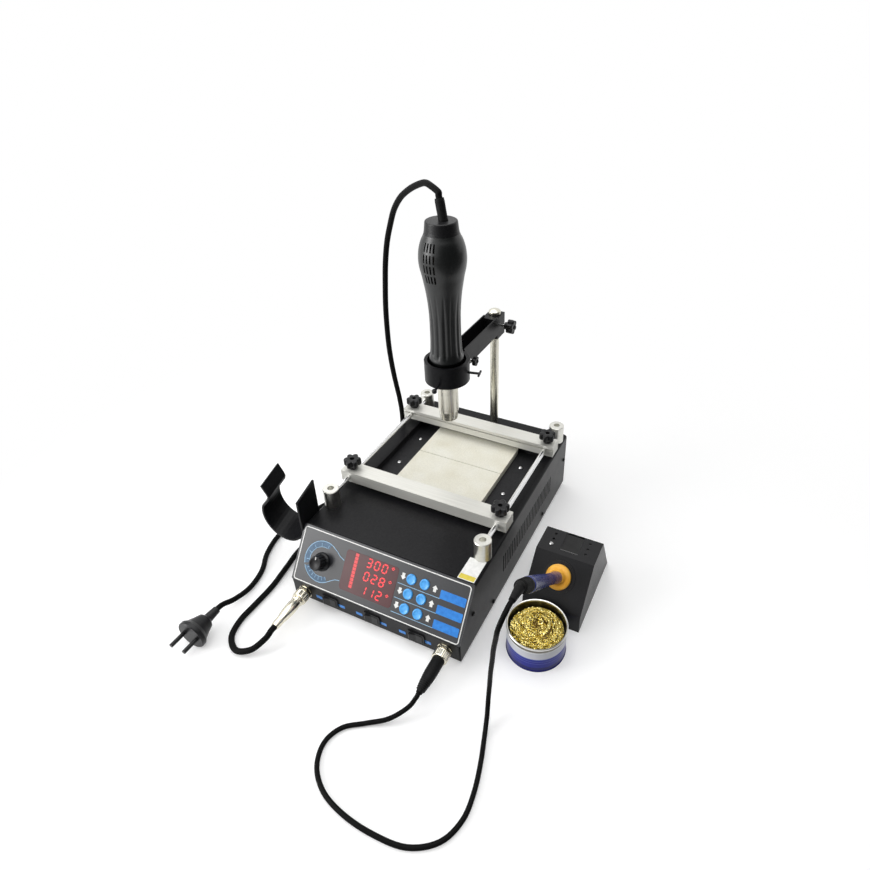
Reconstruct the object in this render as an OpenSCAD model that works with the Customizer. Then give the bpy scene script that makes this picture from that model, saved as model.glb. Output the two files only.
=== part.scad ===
// Soldering rework station: preheating plate, hot-air gun on an arm, and a soldering iron in its stand.
// Millimetres. The origin is on the bench under the middle of the housing.
// +X is to the right seen from the front, the control panel faces -Y, and +Z is up.

/* [Housing] */
// Width of the housing
housing_w = 225; // [215:1:250]
// Depth of the housing at its base
housing_d = 336; // [326:1:350]
// Height of the housing's top above the bench
housing_h = 89; // [84:1:98]
// Thickness of the folded sheet steel
sheet_t = 1.5; // [1:0.1:2]
// Radius of the bend along each top edge
bend_r = 4; // [2.5:0.5:6]
// Height of the rubber feet
foot_h = 6; // [5:0.5:10]
// Diameter of the rubber feet
foot_d = 16; // [12:1:20]

/* [Control panel] */
// Height of the panel's lower edge above the bench
panel_foot_z = 33.5; // [32:0.5:38]
// Depth that the sloped panel takes in plan
panel_run = 39.3; // [34:0.1:44]
// Distance that the panel's lower edge stands in front of the base
panel_over = 2.3; // [1:0.1:4]
// Width of the display window
window_w = 70; // [60:1:72]
// Height of the display window along the slope
window_h = 47; // [40:1:50]
// Diameter of the round buttons
button_d = 12; // [9:0.5:13]
// Distance between neighbouring buttons
button_pitch = 16.8; // [15:0.1:17.5]
// Height that a button stands above the panel
button_rise = 1.6; // [1.2:0.1:2.4]
// Diameter of the air knob's skirt
air_knob_d = 22; // [18:0.5:26]
// Height of the air knob
air_knob_h = 15; // [11:0.5:18]
// Distance between neighbouring rocker switches
rocker_pitch = 58; // [50:1:60]
// Diameter of the lead sockets on the front
socket_d = 16; // [12:1:17]

/* [Preheater] */
// Width of one ceramic heating plate
ceramic_w = 122; // [110:1:126]
// Depth of one ceramic heating plate
ceramic_d = 60; // [54:1:61]
// Thickness of a ceramic heating plate
ceramic_t = 12; // [9:0.5:13]
// Gap between the two ceramic plates
ceramic_gap = 1; // [0.5:0.1:2]
// Width of the opening over the heater
opening_w = 184; // [176:1:188]
// Middle of the heater, behind the middle of the housing
heater_y = 54; // [52:1:57]
// Depth of the heater's side decks below the housing's top
deck_drop = 9; // [6:0.5:11]

/* [Board clamp] */
// Height of the four posts
post_h = 25; // [23:0.5:29]
// Diameter of the four posts
post_d = 20; // [16:0.5:21]
// Distance from the housing's side to the middle of a post
post_inset = 10.5; // [10:0.5:12]
// Place of the front posts
post_front_y = -89; // [-95:1:-86]
// Place of the back posts
post_back_y = 151; // [149:1:155]
// Diameter of the guide rods
rod_d = 6; // [5:0.5:7]
// Depth of a clamp beam
beam_d = 21; // [18:0.5:22]
// Height of a clamp beam
beam_h = 15; // [12:0.5:16]
// Distance that a clamp beam reaches past each rod
beam_over = 12; // [10:0.5:14]
// Place of the front beam
front_beam_y = -41.5; // [-44:0.5:-39]
// Place of the back beam
back_beam_y = 113.5; // [111:0.5:116]
// Diameter of a star knob over its lobes
star_d = 22; // [18:0.5:22.5]
// Height of a star knob's head
star_h = 10; // [7:0.5:12]

/* [Pole and arm] */
// Place of the pole across the housing
pole_x = 5; // [0:1:8]
// Place of the pole behind the middle of the housing
pole_y = 157; // [155:0.5:158]
// Diameter of the pole
pole_d = 12; // [10:0.5:13]
// Height of the pole's top above the bench
pole_top_z = 268; // [266:1:280]
// Height of the arm's underside above the bench
arm_z = 237; // [232:1:238]
// Height of the arm's channel
arm_h = 26; // [24:1:27]
// Width of the arm's channel
arm_w = 20; // [19:0.5:24]
// Distance from the pole to the middle of the gun
arm_reach = 135.5; // [130:0.5:140]
// Inner diameter of the ring that holds the gun
ring_id = 45.5; // [44:0.5:48]
// Thickness of the ring's wall
ring_t = 3.75; // [3:0.25:5]
// Height of the ring
ring_h = 26; // [22:1:28]
// Height of the ring's underside above the bench
ring_z = 236; // [234:1:237]

/* [Hot-air gun] */
// Height of the gun's top above the bench
gun_top_z = 424; // [418:1:430]
// Height of the gun handle's lower end above the bench
gun_low_z = 259; // [257:1:261]
// Radius of the handle's widest part
bulge_r = 26; // [24:0.5:28]
// Radius of the handle's waist
waist_r = 17.6; // [17:0.1:18.4]
// Thickness of the handle's moulded shell
shell_t = 2.2; // [1.8:0.1:2.6]
// Diameter of the steel air tube
tube_d = 24.6; // [23:0.2:25.4]
// Diameter of the nozzle's mouth
nozzle_d = 21; // [14:0.5:22]
// Height of the nozzle's mouth above the bench
nozzle_z = 181; // [176:1:190]

/* [Iron and stand] */
// Middle of the iron's stand, to the right of the station
stand_x = 180; // [176:1:186]
// Width of the stand
stand_w = 70; // [64:1:72]
// Height of the stand
stand_h = 70; // [66:1:74]
// Depth of the stand's level top
stand_top_d = 38; // [34:1:44]
// Place of the back edge of the stand's top
stand_back_y = 5; // [2:1:9]
// Depth that the stand's sloped front takes in plan
stand_front_run = 40; // [38:1:44]
// Height of the upright toe under the stand's sloped front
stand_toe_h = 26; // [22:1:28]
// Height at which the iron enters the stand's front
iron_hole_z = 52; // [48:0.5:54]
// Diameter of the iron's handle
iron_d = 14; // [12:0.5:16]
// Length of the iron's handle
iron_handle_l = 129; // [115:1:133]

/* [Cleaning tin and gun cradle] */
// Diameter of the tin
tin_d = 68; // [62:1:70]
// Height of the tin
tin_h = 38; // [32:1:42]
// Radius inside the gun cradle's trough
cradle_r = 28; // [26:0.5:29]
// Thickness of the gun cradle
cradle_t = 2.5; // [2:0.1:3.2]
// Slope of the gun cradle's trough
cradle_tilt = 18; // [10:1:22]

/* [Leads] */
// Diameter of the hot-air gun's lead
gun_lead_d = 7; // [6:0.5:7]
// Diameter of the iron's lead
iron_lead_d = 5; // [4:0.5:5.5]
// Diameter of the mains lead
mains_lead_d = 6.5; // [6:0.5:7]

/* [Hidden] */

$fn = 48;
// radial clearance of a running fit, and the gap between parts that slide past each other
run = 0.05;
gap = 0.3;
eps = 0.01;

// Housing
base_z = foot_h;
front_y = -housing_d / 2;
rear_y = housing_d / 2;
panel_foot_y = front_y - panel_over;
panel_rise = housing_h - panel_foot_z;
panel_head_y = panel_foot_y + panel_run;
panel_angle = atan2(panel_rise, panel_run);
panel_len = norm([panel_run, panel_rise]);
panel_t = sheet_t;
inner_w = housing_w - 2 * sheet_t;
cover_under_z = housing_h - sheet_t;

// The panel's layout, measured across X and up the slope
window_x = -12.5;
window_s = 33.5;
air_knob_x = -housing_w / 2 + 35.5;
air_knob_s = 31.5;
button_x = housing_w / 2 - 64.5;
button_s = 33;
button_flange = 1.2;
button_flange_t = 1;
button_travel = 0.9;
rocker_z = 20;
rocker_w = 21;
rocker_h = 14;
rocker_tilt = 9;
socket_z = 19;
socket_x = housing_w / 2 - 18.5;
socket_len = 12;
strip_slope = panel_over / (panel_foot_z - base_z);
gland_x = housing_w / 2 - 42.5;
gland_z = 30;

// Preheater
opening_d = 2 * ceramic_d + ceramic_gap + 5;
deck_z = housing_h - deck_drop;
ceramic_top_z = housing_h - 3;
well_w = ceramic_w + 2;
well_d = 2 * ceramic_d + ceramic_gap + 2;

// Board clamp
post_x = housing_w / 2 - post_inset;
beam_w = 2 * (post_x + beam_over);
rod_z = housing_h + 14.5;
beam_z = rod_z - beam_h / 2;
beam_top = beam_z + beam_h;
stud_d = 4;
star_boss_h = 5;
board_slot = 2;

// Pole and arm
bush_t = 1;
tongue_w = arm_w - 2 * sheet_t - 0.4;
gun_y = pole_y - arm_reach;
gun_x = pole_x;
ring_od = ring_id + 2 * ring_t;
knob_z = arm_z + 9.5;
block_z = arm_z - 6;
block_h = arm_h + 4;
block_front = 13;
ring_floor = 3;
ring_screw_angles = [12, 277];
ring_screw_z = [ring_z + 11, ring_z + 6];
ring_knob_y = gun_y + ring_od / 2 + 5.5;
ring_knob_z = arm_z + 10.5;
collar_d = 33;

// Hot-air gun: heights of its stations, measured down from the top
cap_h = 13;
gun_h = gun_top_z - gun_low_z;

// Iron: the axis is square to the stand's sloped front
stand_angle = atan2(stand_h - stand_toe_h, stand_front_run);
stand_front_y = stand_back_y - stand_top_d;
iron_y = stand_front_y - (stand_h - iron_hole_z) / tan(stand_angle);
iron_tilt = stand_angle;
stand_back_run = 40;
tin_x = stand_x - 3;
tin_y = stand_front_y - stand_front_run - tin_d / 2 - 3;
wool_drop = 3;

// Cradle
cradle_x = -housing_w / 2 - cradle_t - cradle_r;
cradle_z = housing_h + 2;
cradle_front_y = front_y + 31;
cradle_back_y = front_y + 64;

// Plugs of the two front leads
plug_y = front_y - panel_over * (socket_z - base_z) / (panel_foot_z - base_z) - 5.5;
plug_len = 52;

// Strain relief on the gun: it leans towards the lead's run
boot_lean = 15;
boot_turn = 153;
boot_len = 22;
boot_in = 9;
gun_boot_d = 10.4;
gun_boot_x = gun_x + 2.4;
boot_dir = [sin(boot_lean) * cos(boot_turn), sin(boot_lean) * sin(boot_turn), cos(boot_lean)];
boot_tip = [gun_boot_x, gun_y, gun_top_z] + boot_len * boot_dir;

// Strain relief on the iron
iron_rib_l = 26;
iron_boot_l = 46;
boot_droop = 35;
iron_rib_end = 14 + iron_handle_l + iron_rib_l;
iron_tail_dir = [0, -sin(iron_tilt + boot_droop), cos(iron_tilt + boot_droop)];
iron_tail = [stand_x, iron_y - iron_rib_end * sin(iron_tilt), iron_hole_z + iron_rib_end * cos(iron_tilt)]
    + (iron_boot_l - iron_rib_l) * iron_tail_dir;

// Routes of the leads, points chosen along the way that each one hangs and lies
gun_hang = [[-9, 28.5, 455], [-20, 35, 455.5], [-36, 44, 449], [-52, 53, 440], [-68, 62, 428],
    [-83, 71, 411], [-95, 79, 390], [-105, 84, 366], [-112, 87, 338], [-116, 88, 308], [-118.5, 88, 278],
    [-119.5, 88, 248], [-120, 89, 218], [-120, 92, 188], [-120, 97, 158], [-120, 103, 128], [-120.5, 107, 98],
    [-122, 107, 68], [-124, 103, 40], [-127, 93, 18], [-130, 76, 6], [-133, 52, 3.6], [-138, 20, 3.6],
    [-143, -15, 3.6], [-148, -50, 3.6], [-153, -82, 3.6], [-155, -112, 3.6], [-151, -142, 3.6],
    [-147, -172, 3.6], [-147, -202, 3.6], [-147, -228, 3.6], [-140, -250, 3.6], [-122, -262, 4.6],
    [-104, -256, 9], [-95.5, -241, 15]];
iron_hang = [[-0.5, -208, 167], [-2, -215, 160], [-4, -217, 150], [-6, -215, 138], [-10, -211, 115],
    [-13, -207, 92], [-16, -204, 68], [-18, -202, 44], [-18, -205, 24], [-15, -215, 9], [-10, -232, 2.6],
    [-3, -255, 2.6], [3, -282, 2.6], [4, -308, 2.6], [-6, -332, 2.6], [-30, -348, 2.6], [-62, -352, 2.6],
    [-94, -350, 2.6], [-122, -342, 2.6], [-142, -326, 2.6], [-150, -304, 2.6], [-143, -284, 2.6],
    [-124, -270, 3], [-104, -258, 7], [-90, -243, 14]];
mains_out = [[gland_x - 0.5, 206, 26], [68, 220, 17], [60, 234, 7], [45, 246, 3.6], [22, 254, 3.6]];
mains_run = [[-62, 230, 9], [-76, 217, 7], [-92, 204, 4.5], [-110, 192, 3.6], [-130, 179, 3.6],
    [-146, 161, 3.6], [-156, 138, 3.6], [-161, 112, 3.6], [-163, 85, 3.6], [-164, 58, 3.6], [-166, 30, 3.6], [-173, -5, 3.6], [-184, -38, 3.6],
    [-194, -70, 3.6], [-198, -100, 3.6], [-190, -132, 3.6], [-176, -158, 3.6], [-170, -186, 4.5],
    [-171, -210, 9], [-172, -225, 16]];
coil_r = 43;
coil_section = 14;
coil_c = [-20, rear_y + coil_r + 5];
mains_plug_end = [-172, -236];
mains_plug_r = 18;

// A folded sheet profile, closed along X, drawn in the YZ plane
module side_extrude(w) {
    rotate([90, 0, 90]) linear_extrude(height = w, center = true) children();
}

// Places its children on the sloped panel at x, s up the slope, with +Z out of the panel
module on_panel(x, s, lift = 0) {
    translate([x, panel_foot_y, panel_foot_z]) rotate([panel_angle, 0, 0]) translate([0, s, lift]) children();
}

// Places its children on the vertical front strip, with +Z pointing out to the front
module on_strip(x, z) {
    translate([x, front_y - panel_over * (z - base_z) / (panel_foot_z - base_z), z]) rotate([90, 0, 0]) children();
}

// A plate with round corners, standing on z = 0
module round_plate(w, d, h, r) {
    linear_extrude(height = h) {
        square([w - 2 * r, d], center = true);
        square([w, d - 2 * r], center = true);
        for (x = [-1, 1], y = [-1, 1])
            translate([x * (w / 2 - r), y * (d / 2 - r)]) circle(r = r, $fn = 24);
    }
}

// The cover's outline seen from the front, with bent top edges
module cover_outline(w, top, r) {
    translate([-w / 2, base_z]) square([w, top - base_z - r]);
    translate([-w / 2 + r, top - r - eps]) square([w - 2 * r, r + eps]);
    for (x = [-1, 1]) translate([x * (w / 2 - r), top - r]) circle(r = r);
}

// The star knob's head: lobes round a hub, with a hole through the top
module star_head(d, h, hub) {
    lobe = d * 0.16;
    difference() {
        linear_extrude(height = h) {
            circle(r = d / 2 - lobe - 0.3);
            for (i = [0:5]) rotate(60 * i + 30) translate([d / 2 - lobe, 0]) circle(r = lobe, $fn = 24);
        }
        translate([0, 0, h - 4]) cylinder(d = d * 0.24, h = 4 + eps);
        for (i = [0:5]) rotate(60 * i) translate([d / 2 + 0.2, 0, -eps])
            cylinder(r = d * 0.11, h = h + 2 * eps, $fn = 20);
    }
    translate([0, 0, -hub]) cylinder(d = d / 2, h = hub + eps);
}

// A lead as a tube swept along its route, with flat ends
function unit(v) = v / max(norm(v), 0.0001);
function route_dir(p, i) = unit(p[min(i + 1, len(p) - 1)] - p[max(i - 1, 0)]);
function side_of(t) = abs(t[2]) > 0.9 ? unit(cross(t, [1, 0, 0])) : unit(cross(t, [0, 0, 1]));
function carry(s, t) = unit(s - t * (s * t));
function sides(p, i = 0, last = undef) = i >= len(p) ? [] :
    let (t = route_dir(p, i), s = i == 0 ? side_of(t) : carry(last, t)) concat([s], sides(p, i + 1, s));
function smooth(p, i, u) =
    let (a = p[max(i - 1, 0)], b = p[i], c = p[i + 1], d = p[min(i + 2, len(p) - 1)])
    0.5 * (2 * b + (c - a) * u + (2 * a - 5 * b + 4 * c - d) * u * u + (3 * b - a - 3 * c + d) * u * u * u);
function refine(p, n) = concat([for (i = [0:len(p) - 2], k = [0:n - 1]) smooth(p, i, k / n)], [p[len(p) - 1]]);
module lead(points, d, m) {
    route = [for (q = points) [q[0], q[1], max(q[2], d / 2 + 0.02)]];
    s = sides(route);
    n = len(route);
    pts = [for (i = [0:n - 1], k = [0:m - 1])
        let (t = route_dir(route, i), a = 360 * k / m)
        route[i] + d / 2 * (cos(a) * s[i] + sin(a) * cross(t, s[i]))];
    walls = [for (i = [0:n - 2], k = [0:m - 1])
        [i * m + k, i * m + (k + 1) % m, (i + 1) * m + (k + 1) % m, (i + 1) * m + k]];
    polyhedron(pts, concat([[for (k = [m - 1:-1:0]) k]], [[for (k = [0:m - 1]) (n - 1) * m + k]], walls));
}

// Base: floor, rear wall and front strip folded from one sheet
module base_tray() color([0.08, 0.08, 0.085]) {
    t = sheet_t;
    rear_top = cover_under_z - gap;
    difference() {
        side_extrude(inner_w - 2 * run) polygon([[front_y, base_z], [panel_foot_y + 0.1, panel_foot_z - 0.9],
            [panel_foot_y + 0.1 + t, panel_foot_z - 0.9], [front_y + t, base_z + t], [rear_y - t, base_z + t],
            [rear_y - t, rear_top], [rear_y, rear_top], [rear_y, base_z]]);
        for (i = [-1:1]) on_strip(i * rocker_pitch, rocker_z)
            cube([rocker_w - 1.6, rocker_h - 1.6, 12], center = true);
        for (x = [-1, 1]) on_strip(x * socket_x, socket_z)
            cylinder(d = socket_d - 3, h = 12, center = true);
        translate([gland_x, rear_y, gland_z]) rotate([90, 0, 0]) cylinder(d = 12, h = 12, center = true);
        for (x = [-1, 1]) translate([x * inner_w / 2, rear_y, rear_top]) rotate([0, 45, 0])
            cube([bend_r - 0.8, 10, bend_r - 0.8], center = true);
        for (i = [0:8]) translate([-70 + i * 10, rear_y, 48]) cube([3, 12, 30], center = true);
    }
}

// Cover: top and both sides folded from one sheet, with the heater's opening and the side louvres
louvre_first_y = front_y + 114;
louvre_pitch = 5.5;
louvres = 30;
module cover_side() {
    back_off = panel_t / sin(panel_angle) + 0.05;
    polygon([[front_y, base_z], [panel_foot_y + back_off + 0.1, panel_foot_z - 1.1],
        [panel_head_y + back_off + panel_run / panel_rise, housing_h + 1],
        [rear_y, housing_h + 1], [rear_y, base_z]]);
}
module top_cover() color([0.07, 0.07, 0.075]) {
    difference() {
        intersection() {
            translate([0, 0, 0]) rotate([90, 0, 0]) linear_extrude(height = housing_d + 20, center = true)
                difference() {
                    cover_outline(housing_w, housing_h, bend_r);
                    translate([0, -eps]) cover_outline(inner_w, cover_under_z, bend_r - sheet_t);
                }
            side_extrude(housing_w + 2) cover_side();
        }
        translate([0, heater_y, housing_h]) cube([opening_w, opening_d, 10], center = true);
        translate([pole_x, pole_y, housing_h]) cylinder(d = pole_d + 2 * run, h = 10, center = true);
        for (i = [0:louvres - 1])
            translate([0, louvre_first_y + i * louvre_pitch, 47]) cube([housing_w + 2, 2.2, 26], center = true);
    }
}

// Sloped panel with its cut-outs
module front_panel() color([0.13, 0.13, 0.14]) {
    difference() {
        on_panel(0, panel_len / 2, -panel_t) round_plate(housing_w, panel_len, panel_t, 1.2);
        on_panel(window_x, window_s, -5) round_plate(window_w + 2 * run, window_h + 2 * run, 10, 4 + run);
        on_panel(air_knob_x, air_knob_s, -5) cylinder(d = 7.2, h = 10);
        for (i = [0:1], k = [-1:1])
            on_panel(button_x + (i - 0.5) * button_pitch, button_s + k * button_pitch, -5)
                cylinder(d = button_d + 0.3, h = 10);
    }
}

module display_window() color([0.35, 0.05, 0.06]) {
    on_panel(window_x, window_s, -2.2) round_plate(window_w, window_h, 2.4, 4);
}

module rubber_feet() color([0.06, 0.06, 0.06]) {
    for (x = [-1, 1], y = [-1, 1]) translate([x * (housing_w / 2 - 22), y * (housing_d / 2 - 24), 0])
        difference() {
            rotate_extrude() polygon([[0, 0], [foot_d / 2 - 1, 0], [foot_d / 2, 1.2], [foot_d / 2 - 1, foot_h], [0, foot_h]]);
            translate([0, 0, -eps]) cylinder(d = 6, h = foot_h - 2);
        }
}

// Deck round the ceramic plates, with a well under them
module heater_deck() color([0.16, 0.16, 0.17]) {
    t = sheet_t;
    translate([0, heater_y, 0]) difference() {
        union() {
            translate([-opening_w / 2 - t, -opening_d / 2 - t, deck_z - t])
                cube([opening_w + 2 * t, opening_d + 2 * t, cover_under_z - deck_z + t - run]);
            translate([-well_w / 2 - t, -well_d / 2 - t, ceramic_top_z - ceramic_t - t])
                cube([well_w + 2 * t, well_d + 2 * t, deck_z - ceramic_top_z + ceramic_t + t - eps]);
        }
        translate([-opening_w / 2, -opening_d / 2, deck_z]) cube([opening_w, opening_d, 20]);
        translate([-well_w / 2, -well_d / 2, ceramic_top_z - ceramic_t]) cube([well_w, well_d, 30]);
    }
}

module ceramic_plates() color([0.9, 0.87, 0.76]) {
    for (y = [-1, 1]) translate([0, heater_y + y * (ceramic_d + ceramic_gap) / 2, ceramic_top_z - ceramic_t])
        round_plate(ceramic_w, ceramic_d, ceramic_t, 1);
}

// Pan-head screw standing on z = 0
module pan_screw(d, h) {
    difference() {
        rotate_extrude() polygon([[0, 0], [d / 2, 0], [d / 2, h * 0.45], [d * 0.3, h], [0, h]]);
        for (a = [0, 90]) rotate(a) translate([0, 0, h]) cube([d * 0.6, 0.7, 1.4], center = true);
    }
}
deck_screw_x = (opening_w + well_w) / 4;
module screws() color([0.5, 0.5, 0.52]) {
    for (x = [-1, 1], y = [-1, 1]) translate([x * deck_screw_x, heater_y + y * 29, deck_z]) pan_screw(5, 1.8);
    for (x = [-1, 1], p = [[front_y + 85, 12], [rear_y - 88, 14], [rear_y - 7, 50], [front_y + 31, 50]])
        translate([x * housing_w / 2, p[0], p[1]]) rotate([0, x * 90, 0]) pan_screw(5.5, 1.8);
    translate([stand_x - 21, stand_front_y + 12, stand_h]) pan_screw(5, 1.8);
    for (y = [-10, 2]) translate([cradle_x + cradle_r, (cradle_front_y + cradle_back_y) / 2 + y, housing_h - bend_r - 2.5])
        rotate([0, -90, 0]) pan_screw(5, 1.6);
}

module clamp_posts() color([0.78, 0.78, 0.76]) {
    for (x = [-1, 1], e = [[post_front_y, 1], [post_back_y, -1]]) translate([x * post_x, e[0], housing_h])
        difference() {
            rotate_extrude() polygon([[0, 0], [post_d / 2, 0], [post_d / 2, post_h - 0.8],
                [post_d / 2 - 0.8, post_h], [0, post_h]]);
            translate([0, 0, post_h - 6]) cylinder(d = 8, h = 7);
            translate([0, 0, rod_z - housing_h]) rotate([-90 * e[1], 0, 0]) translate([0, 0, -2])
                cylinder(d = rod_d + 2 * run, h = post_d);
        }
}

module guide_rods() color([0.82, 0.82, 0.82]) {
    reach = post_back_y - post_front_y + 3.6;
    for (x = [-1, 1]) translate([x * post_x, (post_front_y + post_back_y) / 2, rod_z])
        rotate([90, 0, 0]) cylinder(d = rod_d, h = reach, center = true);
}

// The space behind the leaning front strip's outer face, seen from a point on that face
module behind_strip() {
    rotate([90, 0, 90]) linear_extrude(height = 60, center = true)
        polygon([[-30, -30 * strip_slope + 0.02], [30, 30 * strip_slope + 0.02], [30, -20], [-30, -20]]);
}

// Switch housings: a bezel on the strip and a box behind it
bezel_t = 1.8;
pivot_d = 2.4;
pivot_lift = 0.6;
module rocker_bezels() color([0.05, 0.05, 0.05]) {
    for (i = [-1:1]) on_strip(i * rocker_pitch, rocker_z) difference() {
        union() {
            difference() {
                translate([0, 0, -1]) round_plate(rocker_w, rocker_h, bezel_t + 1.15, 1);
                behind_strip();
            }
            translate([0, 0, -14]) round_plate(rocker_w - 2, rocker_h - 2, 14.8, 0.6);
        }
        translate([0, 0, pivot_lift]) rotate([90, 0, 0])
            cylinder(d = pivot_d + 2 * run, h = rocker_h - 2.8, center = true);
        translate([0, 0, -5]) linear_extrude(height = 12) square([rocker_w - 2.8, rocker_h - 3.6], center = true);
    }
}

// Rocker: a shallow V that tips about an upright axis; it rests tipped to its left side
module rocker(i) color([0.04, 0.04, 0.04]) {
    w = rocker_w / 2 - 2.2;
    h = rocker_h - 4.2;
    on_strip(i * rocker_pitch, rocker_z) translate([0, 0, pivot_lift]) rotate([0, rocker_tilt, 0]) rotate([90, 0, 0]) {
        linear_extrude(height = h, center = true)
            polygon([[-w, -1.6], [-w + 0.6, -3], [w - 0.6, -3], [w, -1.6], [w, 2.6], [w - 0.7, 3.1],
                [0, 1.7], [-w + 0.7, 3.1], [-w, 2.6]]);
        cylinder(d = pivot_d, h = h + 1, center = true);
    }
}
module rocker_gun() rocker(-1);
module rocker_heater() rocker(0);
module rocker_iron() rocker(1);

// Panel sockets for the two leads, with a hexagon nut outside
module lead_sockets() color([0.75, 0.74, 0.7]) {
    for (x = [-1, 1]) on_strip(x * socket_x, socket_z) difference() {
        union() {
            translate([0, 0, -14]) cylinder(d = socket_d - 4, h = 14 + socket_len);
            difference() {
                translate([0, 0, -1]) cylinder(d = socket_d + 2, h = 2.6);
                behind_strip();
            }
            translate([0, 0, 1.5]) cylinder(d = socket_d + 3, h = 3.1, $fn = 6);
        }
        translate([0, 0, 4]) cylinder(d = socket_d - 7, h = socket_len);
    }
}

// Plugs on the two leads: a coupling nut, a body, and a sleeve that narrows to the lead
module lead_plugs() color([0.7, 0.69, 0.66]) {
    nut = socket_d / 2 + 1;
    grip = socket_d / 2 - 1;
    for (x = [-1, 1]) translate([x * socket_x, plug_y, socket_z]) rotate([90, 0, 0]) {
        tail = (x < 0 ? gun_lead_d : iron_lead_d) / 2 + 1;
        rotate_extrude() polygon([[grip - 0.9, 0], [nut - 0.6, 0], [nut, 0.8], [nut, 9], [nut - 1, 10],
            [grip, 10.4], [grip, 13], [grip - 0.6, 34], [tail + 0.6, 40], [tail, plug_len], [0, plug_len],
            [0, 7], [grip - 0.9, 7]]);
    }
}

module mains_gland() color([0.05, 0.05, 0.05]) {
    translate([gland_x, rear_y, gland_z]) rotate([-90, 0, 0]) {
        translate([0, 0, -6]) cylinder(d = 11.8, h = 6.1);
        cylinder(d = 17, h = 4);
        translate([0, 0, 3.9]) cylinder(d1 = 12, d2 = mains_lead_d + 1, h = 17.1);
    }
}

// Inside: a laminated transformer on the floor, and the control and display boards
module transformer() color([0.45, 0.3, 0.15]) {
    translate([-housing_w / 2 + 60.5, front_y + 82, base_z + sheet_t]) {
        translate([0, 0, 21]) cube([66, 28, 42], center = true);
        translate([0, 0, 21]) cube([38, 50, 26], center = true);
        translate([0, 0, 1]) cube([84, 20, 2], center = true);
    }
}
module circuit_boards() color([0.05, 0.35, 0.15]) {
    translate([housing_w / 2 - 68.5, front_y + 98, base_z + sheet_t]) {
        for (x = [-1, 1], y = [-1, 1]) translate([x * 36, y * 34, 0]) cylinder(d = 6, h = 8);
        translate([0, 0, 8.8]) cube([80, 76, 1.6], center = true);
        translate([-20, 12, 9]) cube([22, 16, 22]);
        for (i = [0:2]) translate([-28 + i * 15, -20, 9]) cylinder(d = 10, h = 16);
    }
    on_panel(0, panel_len / 2, -9.6) {
        translate([0, 0, 0.8]) cube([inner_w - 50, panel_len - 14, 1.6], center = true);
        translate([window_x, 0, 4.4]) cube([window_w - 8, window_h - 8, 5.6], center = true);
    }
}

module pole() color([0.8, 0.8, 0.8]) {
    r = pole_d / 2;
    cap = r + bush_t + 1.2;
    cap_z = block_z + block_h + 0.4;
    translate([pole_x, pole_y, 0]) {
        rotate_extrude() polygon(concat([[0, cover_under_z - 14], [r, cover_under_z - 14], [r, cap_z],
            [cap - 0.4, cap_z], [cap, cap_z + 0.4]],
            [for (a = [0:10:90]) [cap * cos(a), pole_top_z - 4 + 4 * sin(a)]]));
        translate([0, 0, cover_under_z - 6]) cylinder(d = 20, h = 6 - run, $fn = 6);
    }
}

// Gun cradle: one strip bent to a trough, its left arm waisted and flared, its right arm flat on the housing
function arc_pts(c, r, a0, a1, n) = [for (i = [0:n]) let (a = a0 + (a1 - a0) * i / n) c + r * [cos(a), sin(a)]];
cradle_lip_h = 44;
cradle_line = concat([[cradle_r, 36], [cradle_r, -11.5], [cradle_r - 1.4, -14.8]],
    arc_pts([0, 0], cradle_r, -45, -205, 18),
    [[-20, 17.5], [-14.5, 24], [-13, 29], [-15, 34], [-21, cradle_lip_h]]);
function strip_side(p, i, w) = let (t = unit([for (k = [0:1]) p[min(i + 1, len(p) - 1)][k] - p[max(i - 1, 0)][k]]))
    p[i] + w * [-t[1], t[0]];
module cradle_section() {
    n = len(cradle_line);
    polygon(concat([for (i = [0:n - 1]) strip_side(cradle_line, i, cradle_t)],
        [for (i = [n - 1:-1:0]) cradle_line[i]]));
}
module gun_cradle() color([0.06, 0.06, 0.065]) {
    mid_y = (cradle_front_y + cradle_back_y) / 2;
    depth = cradle_back_y - cradle_front_y;
    translate([cradle_x, mid_y, cradle_z]) intersection() {
        rotate([90 + cradle_tilt, 0, 0]) linear_extrude(height = depth * 2.2, center = true) cradle_section();
        cube([120, depth, 160], center = true);
    }
}

// Iron stand: front slope, top and back slope folded from one sheet, with side walls
module stand_outline(inset = 0) {
    f = stand_front_y;
    polygon([[f - stand_front_run + inset, -inset], [f - stand_front_run + inset, stand_toe_h - inset * 0.48],
        [f + inset * 0.48, stand_h - inset],
        [stand_back_y - inset * 0.57, stand_h - inset], [stand_back_y + stand_back_run - inset * 1.75, -inset]]);
}
module iron_axis() {
    translate([stand_x, iron_y, iron_hole_z]) rotate([iron_tilt, 0, 0]) children();
}
module iron_stand() color([0.07, 0.07, 0.075]) {
    translate([stand_x, 0, 0]) difference() {
        side_extrude(stand_w) stand_outline();
        side_extrude(stand_w - 2 * sheet_t) stand_outline(sheet_t);
        translate([2, stand_back_y - 15, stand_h]) cube([21, 30 + eps, 10], center = true);
        for (x = [-1, 1], i = [0:2]) if (x > 0 || i > 0)
            translate([x * 21, stand_front_y + 12 + i * 9, stand_h]) cylinder(d = 3.4, h = 10, center = true);
        translate([-stand_x, 0, 0]) iron_axis() cylinder(d = 27 + 2 * run, h = 14, center = true);
    }
}

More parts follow.
